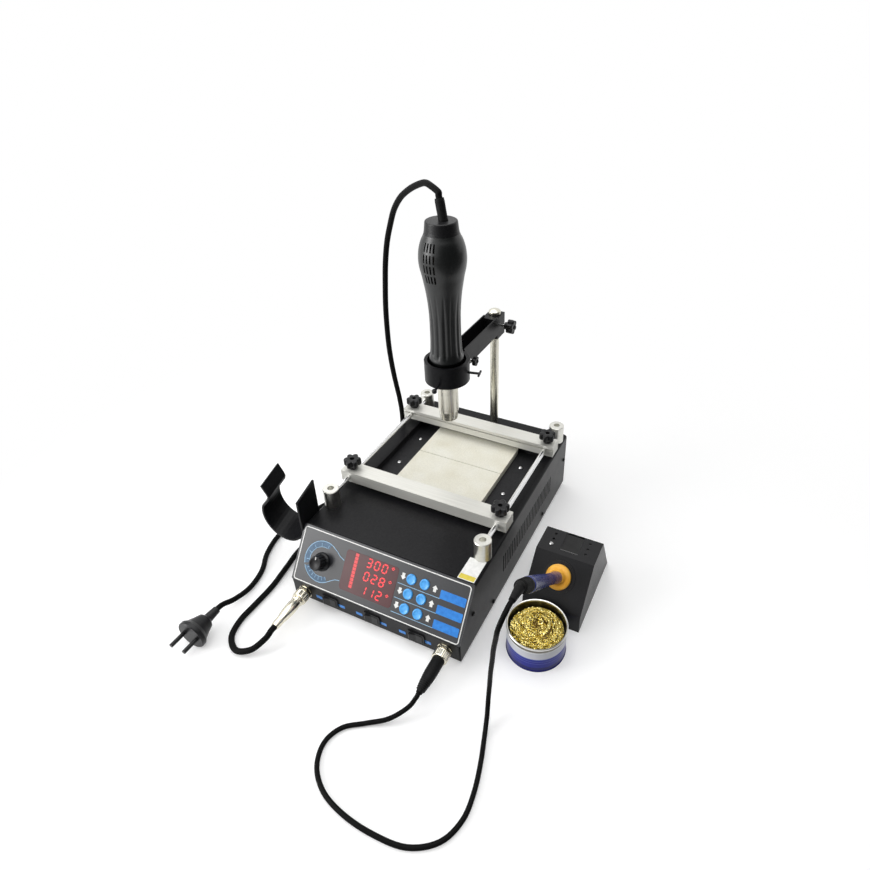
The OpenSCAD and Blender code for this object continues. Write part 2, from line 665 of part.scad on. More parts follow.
// Coil-spring holder that the iron's barrel stands in
spring_r = 10.5;
holder_t = 1.2;
module iron_spring() color([0.1, 0.1, 0.1]) {
    iron_axis() {
        difference() {
            union() {
                translate([0, 0, -7]) cylinder(r = 13.5, h = 8);
                cylinder(r = 18.5, h = holder_t);
            }
            translate([0, 0, -8]) cylinder(r = 9.4, h = 12);
        }
        for (i = [0:8]) translate([0, 0, -12.5 - i * 5]) rotate_extrude() translate([spring_r, 0])
            circle(d = 2, $fn = 16);
        for (a = [30:120:270]) rotate(a) translate([spring_r, 0, -52.5]) cylinder(d = 1.4, h = 46, $fn = 16);
    }
}

module cleaning_tin() color([0.75, 0.75, 0.78]) {
    r = tin_d / 2;
    translate([tin_x, tin_y, 0]) rotate_extrude($fn = 96) polygon([[0, 0.6], [r - 2, 0.6], [r - 1.6, 0], [r - 0.4, 0],
        [r - 0.2, 1], [r - 1, 2], [r - 1, tin_h - 2.4], [r, tin_h - 1.6], [r, tin_h - 0.5], [r - 0.6, tin_h],
        [r - 1.6, tin_h - 0.4], [r - 2, tin_h - 2], [r - 2, 1.6], [0, 1.6]]);
}
module brass_wool() color([0.72, 0.58, 0.22]) {
    r = tin_d / 2 - 3.2;
    translate([tin_x, tin_y, 0]) rotate_extrude($fn = 48) polygon(concat([[0, 1.9], [r, 1.9], [r, tin_h - 16]],
        [for (a = [10:10:90]) [r * cos(a), tin_h - 16 + (13 + wool_drop) * sin(a)]]));
}

// Clamp beams, with a slot for the edge of a board on the inner face
module beam(y, inner) {
    difference() {
        translate([0, y, beam_z]) rotate([90, 0, 90]) linear_extrude(height = beam_w, center = true) difference() {
            translate([-beam_d / 2, 0]) square([beam_d, beam_h]);
            translate([inner * (beam_d / 2 - 1.5), beam_h - 5]) square([3 + eps, board_slot], center = true);
        }
        for (x = [-1, 1]) {
            translate([x * post_x, y, rod_z]) rotate([90, 0, 0]) cylinder(d = rod_d + 2 * run, h = beam_d + 2, center = true);
            translate([x * post_x, y, rod_z]) cylinder(d = stud_d + 2 * run, h = beam_h);
        }
    }
}
module front_beam() color([0.82, 0.82, 0.8]) beam(front_beam_y, 1);
module back_beam() color([0.82, 0.82, 0.8]) beam(back_beam_y, -1);

module star(x, y) color([0.05, 0.05, 0.055]) translate([x, y, 0]) {
    translate([0, 0, beam_top + star_boss_h]) star_head(star_d, star_h, star_boss_h - 0.1);
    translate([0, 0, rod_z + rod_d / 2 + 0.1]) cylinder(d = stud_d, h = beam_top + star_boss_h - rod_z - rod_d / 2);
}
module front_left_star() star(-post_x, front_beam_y);
module front_right_star() star(post_x, front_beam_y);
module back_left_star() star(-post_x, back_beam_y);
module back_right_star() star(post_x, back_beam_y);

// Air knob: a skirt, a fluted grip and a pointer flat, on a shaft through the panel
module air_knob() color([0.04, 0.04, 0.045]) {
    r = air_knob_d / 2;
    on_panel(air_knob_x, air_knob_s) {
        translate([0, 0, 0.3]) rotate_extrude() polygon([[0, 0], [r, 0], [r, 1.4], [r - 1.6, 3], [0, 3]]);
        difference() {
            translate([0, 0, 3]) cylinder(r1 = r - 2, r2 = r - 2.8, h = air_knob_h - 3);
            for (i = [0:11]) rotate(30 * i + 15) translate([r - 1.7, 0, 3]) cylinder(r = 0.9, h = air_knob_h, $fn = 16);
        }
        translate([0, r / 2 - 0.6, 6]) cube([2.4, r - 1.4, 8], center = true);
        translate([0, 0, -7.8]) cylinder(d = 7, h = 8.3);
    }
}

// Buttons: a disc through the panel with a flange behind it
module button(col, row) color([0.1, 0.4, 0.8]) {
    on_panel(button_x + (col - 0.5) * button_pitch, button_s + row * button_pitch) {
        translate([0, 0, -panel_t - 1.2]) cylinder(d = button_d, h = panel_t + 1.2 + button_rise);
        translate([0, 0, -panel_t - 0.2 - button_flange_t]) cylinder(d = button_d + 2 * button_flange, h = button_flange_t);
    }
}
module button_air_down() button(0, 1);
module button_air_up() button(1, 1);
module button_heat_down() button(0, 0);
module button_heat_up() button(1, 0);
module button_iron_down() button(0, -1);
module button_iron_up() button(1, -1);

// Split bush that slides on the pole inside the arm's block
module pole_bush() color([0.75, 0.6, 0.3]) {
    translate([pole_x, pole_y, block_z]) difference() {
        cylinder(d = pole_d + 2 * run + 2 * bush_t, h = block_h);
        translate([0, 0, -1]) cylinder(d = pole_d + 2 * run, h = block_h + 2);
    }
}

// Clamp block: it turns on the bush and reaches into the channel's end
module arm_block() color([0.05, 0.05, 0.055]) {
    translate([pole_x, pole_y, 0]) difference() {
        union() {
            translate([-arm_w / 2, -block_front, block_z]) cube([arm_w, block_front + 10, block_h]);
            translate([-tongue_w / 2, -block_front - 5, arm_z + sheet_t + 0.1])
                cube([tongue_w, 6, arm_h - sheet_t - 2]);
        }
        translate([0, 0, block_z - 1]) cylinder(d = pole_d + 4 * run + 2 * bush_t, h = block_h + 2);
        translate([0, 0, knob_z]) rotate([0, 90, 0]) cylinder(d = stud_d + 2 * run, h = 30);
    }
}

// Arm: a channel folded from sheet, open at the top
module arm_channel() color([0.06, 0.06, 0.065]) {
    back = -block_front - run;
    front = arm_reach - ring_od / 2 - 0.3;
    translate([pole_x, pole_y, arm_z]) difference() {
        translate([-arm_w / 2, -front, 0]) cube([arm_w, front + back, arm_h]);
        translate([-arm_w / 2 + sheet_t, -front - 1, sheet_t]) cube([arm_w - 2 * sheet_t, front + back + 2, arm_h]);
        translate([0, ring_knob_y - pole_y, ring_knob_z - arm_z]) rotate([0, 90, 0]) cylinder(d = 3 + 2 * run, h = 30);
    }
}

module arm_knob() color([0.05, 0.05, 0.055]) {
    translate([pole_x + arm_w / 2, pole_y, knob_z]) rotate([0, 90, 0]) {
        translate([0, 0, 9]) star_head(20, 9, 4);
        translate([0, 0, 2 * run + bush_t + pole_d / 2 + 0.1 - arm_w / 2])
            cylinder(d = stud_d, h = arm_w / 2 - pole_d / 2 - bush_t + 6);
    }
}

// Ring that holds the gun, with a floor for its collar and a tongue that lies in the arm's channel
module gun_ring() color([0.06, 0.06, 0.065]) {
    tongue_l = 32;
    translate([gun_x, gun_y, 0]) difference() {
        union() {
            translate([0, 0, ring_z]) cylinder(d = ring_od, h = ring_h, $fn = 96);
            translate([-tongue_w / 2, ring_id / 2, arm_z + sheet_t + 0.1]) difference() {
                cube([tongue_w, ring_t + tongue_l, arm_h - sheet_t - 5]);
                translate([1.5, ring_t + 1.5, 1.5]) cube([tongue_w - 3, tongue_l, arm_h]);
            }
        }
        translate([0, 0, ring_z + ring_floor]) cylinder(d = ring_id, h = ring_h + arm_h, $fn = 96);
        translate([0, 0, ring_z - 1]) cylinder(d = tube_d + 3, h = 10, $fn = 96);
        for (i = [0, 1]) translate([0, 0, ring_screw_z[i]]) rotate([0, 90, ring_screw_angles[i]])
            cylinder(d = 3 + 2 * run, h = ring_od);
        translate([0, ring_knob_y - gun_y, ring_knob_z]) rotate([0, 90, 0]) cylinder(d = 3 + 2 * run, h = 30);
    }
}
module ring_knob() color([0.05, 0.05, 0.055]) {
    translate([gun_x, ring_knob_y, ring_knob_z]) rotate([0, 90, 0]) {
        translate([0, 0, 5.2]) cylinder(d = 3, h = arm_w / 2 + 4);
        translate([0, 0, arm_w / 2 + 9]) star_head(13, 4.5, 2);
    }
}
// Thumb screw through the ring's wall, with a bar or a ball to turn it by
module ring_screw(i) {
    from = collar_d / 2 + gap;
    to = ring_od / 2 + 13.5;
    translate([gun_x, gun_y, ring_screw_z[i]]) rotate([0, 90, ring_screw_angles[i]]) {
        translate([0, 0, from]) cylinder(d = 3, h = to - from);
        if (i == 0) translate([0, 0, to - 1]) rotate([90, 0, 0]) cylinder(d = 2.6, h = 12, center = true);
        else translate([0, 0, to + 1]) sphere(d = 6);
    }
}
module ring_screw_right() color([0.1, 0.1, 0.1]) ring_screw(0);
module ring_screw_left() color([0.1, 0.1, 0.1]) ring_screw(1);

// Gun handle: the outer radius at each height below the cap, a crowned bulge over a fluted grip
handle_top_z = gun_top_z - cap_h;
low_r = 20;
handle_profile = [[0, 18.9], [0.02, 20.2], [0.045, 22.1], [0.075, 23.7], [0.11, bulge_r - 1], [0.145, bulge_r - 0.3],
    [0.18, bulge_r], [0.215, bulge_r - 0.3], [0.25, bulge_r - 1.1], [0.3, bulge_r - 2.8], [0.36, waist_r + 4],
    [0.42, waist_r + 2.5], [0.48, waist_r + 1.4], [0.54, waist_r + 0.6], [0.62, waist_r], [0.8, waist_r + 0.1],
    [0.89, waist_r + 0.7], [0.935, low_r - 0.8], [0.96, low_r], [0.98, low_r - 0.7], [0.993, low_r - 2.5],
    [1, low_r - 4.5]];
handle_len = handle_top_z - gun_low_z;
function handle_pts(inset) = [for (p = handle_profile) [max(p[1] - inset, 1), handle_top_z - p[0] * handle_len]];
module handle_body(inset) {
    rotate_extrude($fn = 72) polygon(concat([[0, handle_top_z]], handle_pts(inset), [[0, gun_low_z]]));
}
flutes = 14;
module gun_shell() color([0.05, 0.05, 0.055]) {
    collar_z = ring_z + ring_floor;
    translate([gun_x, gun_y, 0]) difference() {
        union() {
            handle_body(0);
            translate([0, 0, collar_z]) cylinder(d = collar_d, h = gun_low_z - collar_z + 2);
        }
        intersection() {
            handle_body(shell_t);
            translate([-40, -40, gun_low_z + 8]) cube([80, 80, handle_len - 8 + eps]);
        }
        translate([0, 0, collar_z - 1]) cylinder(d = tube_d, h = 40);
        for (i = [0:flutes - 1]) rotate(360 / flutes * (i + 0.5)) translate([waist_r + 2.1, 0, gun_low_z + 16])
            cylinder(r = 2.6, h = 58, $fn = 24);
        for (i = [0:3], k = [0:3]) rotate(-111 + i * 9.3) translate([bulge_r - 5, 0, handle_top_z - 10 - k * 11.4])
            cube([16, 1.9, 9], center = true);
    }
}
module gun_cap() color([0.06, 0.06, 0.065]) {
    r = handle_profile[0][1] - 0.9;
    translate([gun_x, gun_y, handle_top_z]) difference() {
        rotate_extrude() polygon([[0, 0.1], [r + 0.9, 0.1], [r + 0.3, 3], [r - 0.6, cap_h - 1.6],
            [r - 1, cap_h - 0.5], [r - 1.8, cap_h], [0, cap_h]]);
        translate([gun_boot_x - gun_x, 0, cap_h - boot_in]) cylinder(d = gun_boot_d + 2 * run, h = boot_in + 1);
    }
}
// Strain relief: a plug in the cap and a sleeve that leans with the lead
module gun_boot() color([0.05, 0.05, 0.05]) {
    r = gun_boot_d / 2;
    translate([gun_boot_x, gun_y, gun_top_z]) {
        translate([0, 0, -boot_in]) cylinder(r = r, h = boot_in + 1);
        rotate([0, boot_lean, boot_turn]) rotate_extrude() polygon([[0, 0], [r - 0.2, 0],
            [r - 0.1, boot_len - 3], [r - 0.5, boot_len], [0, boot_len]]);
    }
}
// Inside the handle: a motor and fan, and the ceramic heating core in the tube
module gun_core() color([0.7, 0.65, 0.55]) {
    translate([gun_x, gun_y, 0]) {
        translate([0, 0, handle_top_z - 44]) cylinder(d = 38, h = 26);
        translate([0, 0, handle_top_z - 52]) cylinder(d = 24, h = 8.1);
        translate([0, 0, handle_top_z - 70]) cylinder(d = 12, h = 18.1);
        translate([0, 0, nozzle_z + 22]) cylinder(d = 18, h = handle_top_z - 70 - nozzle_z - 22 + 0.1);
        for (a = [0:60:120]) translate([0, 0, gun_low_z + 4]) rotate(a)
            cube([tube_d - 3.2, 2, 6], center = true);
    }
}
// Steel air tube with its nozzle pushed on
module air_tube() color([0.75, 0.74, 0.7]) {
    r = tube_d / 2;
    n = nozzle_d / 2;
    translate([gun_x, gun_y, 0]) rotate_extrude($fn = 72) polygon([[r, gun_low_z + 18], [r, nozzle_z + 12], [r - 0.5, nozzle_z + 12],
        [n + 0.4, nozzle_z + 0.8], [n, nozzle_z], [n - 1, nozzle_z], [r - 1.6, nozzle_z + 12.6], [r - 1.2, gun_low_z + 18]]);
}

// Iron: barrel and bit, heat collar, handle and boot along one axis, +Z out of the stand
module iron_barrel() color([0.75, 0.75, 0.75]) {
    iron_axis() rotate_extrude() polygon([[0, -62], [0.6, -62], [2.4, -52], [3.2, -50], [3.2, -34], [4.2, -33],
        [4.2, -6], [5.6, -5], [5.6, 3.2], [0, 3.2]]);
}
module iron_collar() color([0.95, 0.6, 0.1]) {
    r = 14.5;
    iron_axis() difference() {
        rotate_extrude() polygon([[0, holder_t], [r - 1.5, holder_t], [r, 2.6], [r, 6.8], [r - 1.4, 8],
            [9.5, 9], [iron_d / 2 + 0.8, 14], [0, 14]]);
        cylinder(d = 11.3, h = 3.25);
    }
}
module iron_handle() color([0.12, 0.2, 0.5]) {
    r = iron_d / 2;
    l = iron_handle_l;
    iron_axis() rotate_extrude() polygon([[0, 14], [r - 0.2, 14], [r + 0.3, 20], [r - 0.4, 34], [r - 0.6, 60],
        [r + 0.6, 14 + l * 0.72], [r + 1.2, 14 + l - 8], [r + 1.2, 14 + l - 2], [r + 0.4, 14 + l], [0, 14 + l]]);
}
module iron_boot() color([0.06, 0.06, 0.06]) {
    r = iron_d / 2;
    iron_axis() translate([0, 0, 14 + iron_handle_l]) {
        cylinder(r1 = r + 0.2, r2 = r - 1, h = iron_rib_l);
        translate([0, 0, iron_rib_l]) {
            sphere(r = r - 1.6);
            rotate([boot_droop, 0, 0]) cylinder(r1 = r - 2, r2 = iron_lead_d / 2 + 0.8, h = iron_boot_l - iron_rib_l);
        }
        for (i = [0:7]) translate([0, 0, 2 + i * 3]) cylinder(r = r + 0.8 - i * 0.14, h = 1.5);
    }
}

module gun_lead() color([0.05, 0.05, 0.05])
    lead(refine(concat([for (k = [0, 3, 6]) boot_tip + k * boot_dir], gun_hang,
        [for (k = [6, 3, 0]) [-socket_x, plug_y - plug_len - k, socket_z]]), 2), gun_lead_d, 8);
module iron_lead() color([0.05, 0.05, 0.05]) {
    lead(refine(concat([for (k = [0, 3, 6]) iron_tail + k * iron_tail_dir], [for (p = iron_hang) p + [stand_x, 0, 0]],
        [for (k = [6, 3, 0]) [socket_x, plug_y - plug_len - k, socket_z]]), 2), iron_lead_d, 8);
}

// Mains lead: from the gland to the coil, and from the coil to the plug
module mains_lead() color([0.05, 0.05, 0.05]) {
    lead(concat([for (k = [0, 3, 6]) [gland_x, rear_y + 21 + k, gland_z]], mains_out,
        [[coil_c[0], coil_c[1] + coil_r - 4, 5]]), mains_lead_d, 8);
    lead(concat([[coil_c[0] - 0.707 * (coil_r - 4), coil_c[1] + 0.707 * (coil_r - 4), 9]], mains_run,
        [for (k = [4, 0]) [mains_plug_end[0], mains_plug_end[1] + k, mains_plug_r]]), mains_lead_d, 8);
}
module mains_coil() color([0.06, 0.06, 0.06]) {
    translate([coil_c[0], coil_c[1], 0.2]) rotate_extrude() translate([coil_r - coil_section, 0])
        square([coil_section, 13.5]);
}
// Round two-pin plug lying on its rim
module mains_plug() color([0.05, 0.05, 0.05]) {
    r = mains_plug_r;
    translate([mains_plug_end[0], mains_plug_end[1], r]) rotate([90, 0, 0]) {
        rotate_extrude() polygon([[0, 0], [mains_lead_d / 2 + 1.4, 0], [mains_lead_d / 2 + 2.4, 14], [9.5, 17],
            [12, 24], [15, 31], [r, 35], [r, 39], [r - 1, 40], [0, 40]]);
        for (x = [-1, 1]) translate([x * 9.5, 0, 39.9]) cylinder(d = 4.8, h = 19.1);
    }
}

base_tray();
top_cover();
front_panel();
display_window();
rubber_feet();
heater_deck();
ceramic_plates();
screws();
clamp_posts();
guide_rods();
rocker_bezels();
lead_sockets();
mains_gland();
transformer();
circuit_boards();
pole();
gun_cradle();
iron_stand();
iron_spring();
cleaning_tin();
brass_wool();
front_beam();
back_beam();
front_left_star();
front_right_star();
back_left_star();
back_right_star();
air_knob();
button_air_down();
button_air_up();
button_heat_down();
button_heat_up();
button_iron_down();
button_iron_up();
rocker_gun();
rocker_heater();
rocker_iron();
pole_bush();
arm_block();
arm_channel();
arm_knob();
gun_ring();
ring_knob();
ring_screw_right();
ring_screw_left();
gun_shell();
gun_cap();
gun_core();
air_tube();
gun_boot();
iron_handle();
iron_collar();
iron_barrel();
iron_boot();
gun_lead();
iron_lead();
lead_plugs();
mains_lead();
mains_coil();
mains_plug();
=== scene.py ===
"""Looks of the soldering rework station: camera, light, leads, finishes and the finely shaped pieces.

Sizes and places are in millimetres in the part's frame, and mm() turns them into metres. Lamps, the floor
and what the shader nodes read are in metres, so there a length in millimetres is multiplied by MM.
"""

import random
from math import atan2, cos, degrees, exp, pi, radians, sin, sqrt, tan

import bpy
from mathutils import Matrix, Vector


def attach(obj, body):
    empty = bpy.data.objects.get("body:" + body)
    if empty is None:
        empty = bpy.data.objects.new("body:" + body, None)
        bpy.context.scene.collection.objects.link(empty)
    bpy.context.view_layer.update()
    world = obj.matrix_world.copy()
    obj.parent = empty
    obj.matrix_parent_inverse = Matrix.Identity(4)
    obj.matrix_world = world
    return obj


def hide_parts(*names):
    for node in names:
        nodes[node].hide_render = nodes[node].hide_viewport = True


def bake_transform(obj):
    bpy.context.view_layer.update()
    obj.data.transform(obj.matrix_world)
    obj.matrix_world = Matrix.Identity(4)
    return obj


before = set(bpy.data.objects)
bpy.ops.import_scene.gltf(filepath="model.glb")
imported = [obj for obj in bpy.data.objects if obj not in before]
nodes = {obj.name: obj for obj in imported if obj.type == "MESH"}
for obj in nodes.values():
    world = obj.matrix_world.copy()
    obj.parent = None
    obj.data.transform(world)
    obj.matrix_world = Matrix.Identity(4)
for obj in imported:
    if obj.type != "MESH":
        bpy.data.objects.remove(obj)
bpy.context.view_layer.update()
MM = 0.001

# Sizes and places that the construction also uses
HOUSING_W, HOUSING_D, HOUSING_H, BASE_Z = 225, 336, 89, 6
PANEL_OVER, PANEL_FOOT_Z, PANEL_RUN = 2.3, 33.5, 39.3
PANEL_FOOT_Y = -HOUSING_D / 2 - PANEL_OVER
PANEL_ANGLE = atan2(HOUSING_H - PANEL_FOOT_Z, PANEL_RUN)
AIR_KNOB_X, AIR_KNOB_S = -77, 31.5
BUTTON_X, BUTTON_S, BUTTON_PITCH = 48, 33, 16.8
POST_X, STAR_Z, FRONT_BEAM_Y, BACK_BEAM_Y = 102, 116, -41.5, 113.5
POLE_Y, ARM_KNOB_X, ARM_KNOB_Z, RING_KNOB_Y, RING_KNOB_Z = 157, 24, 246.5, 53.5, 247.5
GUN_X, GUN_Y, GUN_TOP_Z, HANDLE_TOP, HANDLE_LOW = 5, 21.5, 424, 411, 259
SOCKET_X, SOCKET_Z, PLUG_LEN = 94, 19, 52
STAND_X, STAND_FRONT_Y, STAND_H, STAND_TOE_H, STAND_RUN = 180, -33, 70, 26, 40
IRON_ANGLE = atan2(STAND_H - STAND_TOE_H, STAND_RUN)
IRON_HOLE_Z, IRON_RIB_END = 52, 169
TIN_X, TIN_Y, TIN_R, TIN_H = 177, -110, 34, 38
GUN_LEAD_D, IRON_LEAD_D, MAINS_LEAD_D = 7, 5, 6.5

# The photograph's viewpoint, worked out from the housing's corners in it. The turns are in degrees
CAMERA_PLACE = (321.2, -551.3, 627.2)
CAMERA_YAW, CAMERA_PITCH, CAMERA_ROLL = 26.5, 32.92, -1
CAMERA_LENS, CAMERA_SENSOR = 26.73, 36
CAMERA_SHIFT = (-0.0415, -0.0397)


def mm(*point):
    """A point in millimetres as a vector in metres."""
    return Vector(point) * MM


def add_object(name, data):
    """A new object in the scene."""
    obj = bpy.data.objects.new(name, data)
    bpy.context.scene.collection.objects.link(obj)
    return obj


def axes_at(x, y, z, origin):
    """The matrix that has these axes and this origin."""
    m = Matrix((x, y, z)).transposed().to_4x4()
    m.translation = origin
    return m


# Camera
yaw, pitch, roll = (radians(a) for a in (CAMERA_YAW, CAMERA_PITCH, CAMERA_ROLL))
forward = Vector((-sin(yaw) * cos(pitch), cos(yaw) * cos(pitch), -sin(pitch)))
right = Vector((cos(yaw), sin(yaw), 0))
up = right.cross(forward)
across = cos(roll) * right + sin(roll) * up
upward = -sin(roll) * right + cos(roll) * up
data = bpy.data.cameras.new("camera")
data.sensor_width, data.lens = CAMERA_SENSOR, CAMERA_LENS
data.shift_x, data.shift_y = CAMERA_SHIFT
data.clip_start, data.clip_end = 0.02, 30
camera = add_object("camera", data)
camera.matrix_world = axes_at(across, upward, -forward, mm(*CAMERA_PLACE))
bpy.context.scene.camera = camera


def new_object(name, verts, faces, smooth=True):
    """A mesh object from points in metres."""
    mesh = bpy.data.meshes.new(name)
    mesh.from_pydata([tuple(v) for v in verts], [], faces)
    mesh.validate()
    mesh.polygons.foreach_set("use_smooth", [smooth] * len(mesh.polygons))
    mesh.update()
    return add_object(name, mesh)


def joined(name, parts, smooth=True):
    """One object from a list of (verts, faces) pairs, in millimetres."""
    verts, faces = [], []
    for part_verts, part_faces in parts:
        first = len(verts)
        verts += [mm(*v) for v in part_verts]
        faces += [[first + i for i in f] for f in part_faces]
    return new_object(name, verts, faces, smooth)


def placed(part, matrix):
    """A (verts, faces) pair moved by a matrix in millimetres."""
    verts, faces = part
    return [tuple(matrix @ Vector(v)) for v in verts], faces


def skin(rings, n, capped=True):
    """Faces that join rings of n points, numbered ring by ring, with a cap on each end."""
    faces = [[i * n + k, i * n + (k + 1) % n, (i + 1) * n + (k + 1) % n, (i + 1) * n + k]
             for i in range(rings - 1) for k in range(n)]
    if capped:
        faces += [list(range(n - 1, -1, -1)), list(range((rings - 1) * n, rings * n))]
    return faces


def lathe(profile, segments, shape=None, turn=0.0, capped=True):
    """A profile of (radius, height) turned about Z. shape(angle, radius, height) may change a radius."""
    verts = []
    for r, z in profile:
        for k in range(segments):
            a = 2 * pi * k / segments + turn
            rr = shape(a, r, z) if shape else r
            verts.append((rr * cos(a), rr * sin(a), z))
    return verts, skin(len(profile), segments, capped)


def turned(name, place, *turnings):
    """One object from profiles turned about the Z of a place, each as lathe takes it."""
    return joined(name, [placed(lathe(*t), place) for t in turnings])


def crisp(obj, angle=35):
    """Smooth shading that keeps the edges sharper than an angle in degrees."""
    obj.data.shade_smooth()
    obj.data.set_sharp_from_angle(angle=radians(angle))


def soft_edges(obj, width):
    """A small rounding along the sharp edges."""
    bevel = obj.modifiers.new("rounding", "BEVEL")
    bevel.width = width * MM
    bevel.segments = 2
    bevel.limit_method = "ANGLE"
    bevel.angle_limit = radians(40)
    bevel.harden_normals = True


def frame_at(point, z_axis, x_hint=(1, 0, 0)):
    """A matrix in millimetres with its origin at point and +Z along z_axis."""
    z = Vector(z_axis).normalized()
    x = (Vector(x_hint) - z * z.dot(Vector(x_hint))).normalized()
    return axes_at(x, z.cross(x), z, Vector(point))


def on_front(place, up, lift=0.0):
    """The matrix of a place on a face at the front: +X across, +Y up the face and +Z out of it."""
    out = Vector((1, 0, 0)).cross(up)
    return axes_at((1, 0, 0), up, out, place + out * lift)


def on_panel(x, s, lift=0.0):
    """A place on the sloped panel: x across and s up the slope."""
    up = Vector((0, cos(PANEL_ANGLE), sin(PANEL_ANGLE)))
    return on_front(Vector((x, PANEL_FOOT_Y, PANEL_FOOT_Z)) + up * s, up, lift)


def strip_y(z):
    """Where the low front strip's face is at a height."""
    return -HOUSING_D / 2 - PANEL_OVER * (z - BASE_Z) / (PANEL_FOOT_Z - BASE_Z)


def on_strip(x, z):
    """A place on the low front strip."""
    up = Vector((0, -PANEL_OVER, PANEL_FOOT_Z - BASE_Z)).normalized()
    return on_front(Vector((x, strip_y(z), z)), up)


def leaning(lean, turn):
    """The direction that leans from upright by one angle, towards another angle in plan."""
    return Vector((sin(lean) * cos(turn), sin(lean) * sin(turn), cos(lean)))


# Leads: the same routes as in the construction, as smooth round tubes
LEAD_STEPS, LEAD_SIDES = 6, 16
PLUG_Y = strip_y(SOCKET_Z) - 5.5
BOOT_X, BOOT_LEN, BOOT_LEAN, BOOT_TURN = GUN_X + 2.4, 22, radians(15), radians(153)
BOOT_WAY = leaning(BOOT_LEAN, BOOT_TURN)
BOOT_TIP = Vector((BOOT_X, GUN_Y, GUN_TOP_Z)) + BOOT_WAY * BOOT_LEN
GUN_HANG = [
    (-9, 28.5, 455), (-20, 35, 455.5), (-36, 44, 449), (-52, 53, 440), (-68, 62, 428),
    (-83, 71, 411), (-95, 79, 390), (-105, 84, 366), (-112, 87, 338), (-116, 88, 308), (-118.5, 88, 278),
    (-119.5, 88, 248), (-120, 89, 218), (-120, 92, 188), (-120, 97, 158), (-120, 103, 128), (-120.5, 107, 98),
    (-122, 107, 68), (-124, 103, 40), (-127, 93, 18), (-130, 76, 6), (-133, 52, 3.6), (-138, 20, 3.6),
    (-143, -15, 3.6), (-148, -50, 3.6), (-153, -82, 3.6), (-155, -112, 3.6), (-151, -142, 3.6),
    (-147, -172, 3.6), (-147, -202, 3.6), (-147, -228, 3.6), (-140, -250, 3.6), (-122, -262, 4.6),
    (-104, -256, 9), (-95.5, -241, 15)]
FORWARD, IRON_DROOP, IRON_BOOT_END = radians(-90), radians(35), 20
IRON_WAY = leaning(IRON_ANGLE, FORWARD)
IRON_TAIL_WAY = leaning(IRON_ANGLE + IRON_DROOP, FORWARD)
IRON_HOLE = Vector((STAND_X, STAND_FRONT_Y - (STAND_H - IRON_HOLE_Z) / tan(IRON_ANGLE), IRON_HOLE_Z))
IRON_TAIL = IRON_HOLE + IRON_WAY * IRON_RIB_END + IRON_TAIL_WAY * IRON_BOOT_END
IRON_HANG = [
    (179.5, -208, 167), (178, -215, 160), (176, -217, 150), (174, -215, 138), (170, -211, 115),
    (167, -207, 92), (164, -204, 68), (162, -202, 44), (162, -205, 24), (165, -215, 9), (170, -232, 2.6),
    (177, -255, 2.6), (183, -282, 2.6), (184, -308, 2.6), (174, -332, 2.6), (150, -348, 2.6),
    (118, -352, 2.6), (86, -350, 2.6), (58, -342, 2.6), (38, -326, 2.6), (30, -304, 2.6), (37, -284, 2.6),
    (56, -270, 3), (76, -258, 7), (90, -243, 14)]
MAINS_EXIT = (70, 189, 30)
MAINS_OUT = [(69.5, 206, 26), (68, 220, 17), (60, 234, 7), (45, 246, 3.6), (22, 254, 3.6)]
MAINS_RUN = [
    (-62, 230, 9), (-76, 217, 7), (-92, 204, 4.5), (-110, 192, 3.6), (-130, 179, 3.6), (-146, 161, 3.6),
    (-156, 138, 3.6), (-161, 112, 3.6), (-163, 85, 3.6), (-164, 58, 3.6), (-166, 30, 3.6), (-173, -5, 3.6),
    (-184, -38, 3.6), (-194, -70, 3.6), (-198, -100, 3.6), (-190, -132, 3.6), (-176, -158, 3.6),
    (-170, -186, 4.5), (-171, -210, 9), (-172, -225, 16), (-172, -232, 18)]
MAINS_PLUG_END = (-172, -236, 18)
COIL_X, COIL_Y, COIL_START, COIL_TURNS = -20, 216, radians(90), 4.125
# Radius and height of each turn of the coil: two turns on the bench and two on top of them
COIL_TRACKS = [(39.7, 3.7), (32.9, 3.7), (32.9, 10.4), (39.7, 10.4)]


def straight(end, way, places=(0, 3, 6)):
    """Points on the axis of a boot, gland or plug, so that a lead leaves it straight."""
    return [tuple(Vector(end) + Vector(way) * k) for k in places]


def plug_approach(side):
    """The last points of a front lead, in line with its plug. The side is -1 for left and 1 for right."""
    return straight((side * SOCKET_X, PLUG_Y - PLUG_LEN, SOCKET_Z), (0, -1, 0), (6, 3, 0))


def smooth_route(points):
    """Points along the smooth curve through a route."""
    p = [Vector(q) for q in points]
    out = []
    for i in range(len(p) - 1):
        a, b, c, d = p[max(i - 1, 0)], p[i], p[i + 1], p[min(i + 2, len(p) - 1)]
        for k in range(LEAD_STEPS):
            u = k / LEAD_STEPS
            out.append(0.5 * (2 * b + (c - a) * u + (2 * a - 5 * b + 4 * c - d) * u * u
                              + (3 * b - a - 3 * c + d) * u ** 3))
    return out + [p[-1]]


def rested(path, diameter):
    """The path with no point lower than the bench lets a round lead lie."""
    return [Vector((p.x, p.y, max(p.z, diameter / 2 + 0.02))) for p in path]


def tube(name, path, diameter, first, last):
    """A round tube along one stretch of a path, its end rings shared with the stretches beside it."""
    verts, side = [], None
    for i, p in enumerate(path[:last + 1]):
        along = (path[min(i + 1, len(path) - 1)] - path[max(i - 1, 0)]).normalized()
        if side is None:
            side = along.orthogonal()
        side = (side - along * side.dot(along)).normalized()
        other = along.cross(side)
        if i >= first:
            for k in range(LEAD_SIDES):
                a = 2 * pi * k / LEAD_SIDES
                verts.append((p + (cos(a) * side + sin(a) * other) * diameter / 2) * MM)
    piece = new_object(name, verts, skin(last - first + 1, LEAD_SIDES))
    crisp(piece, 50)
    return piece


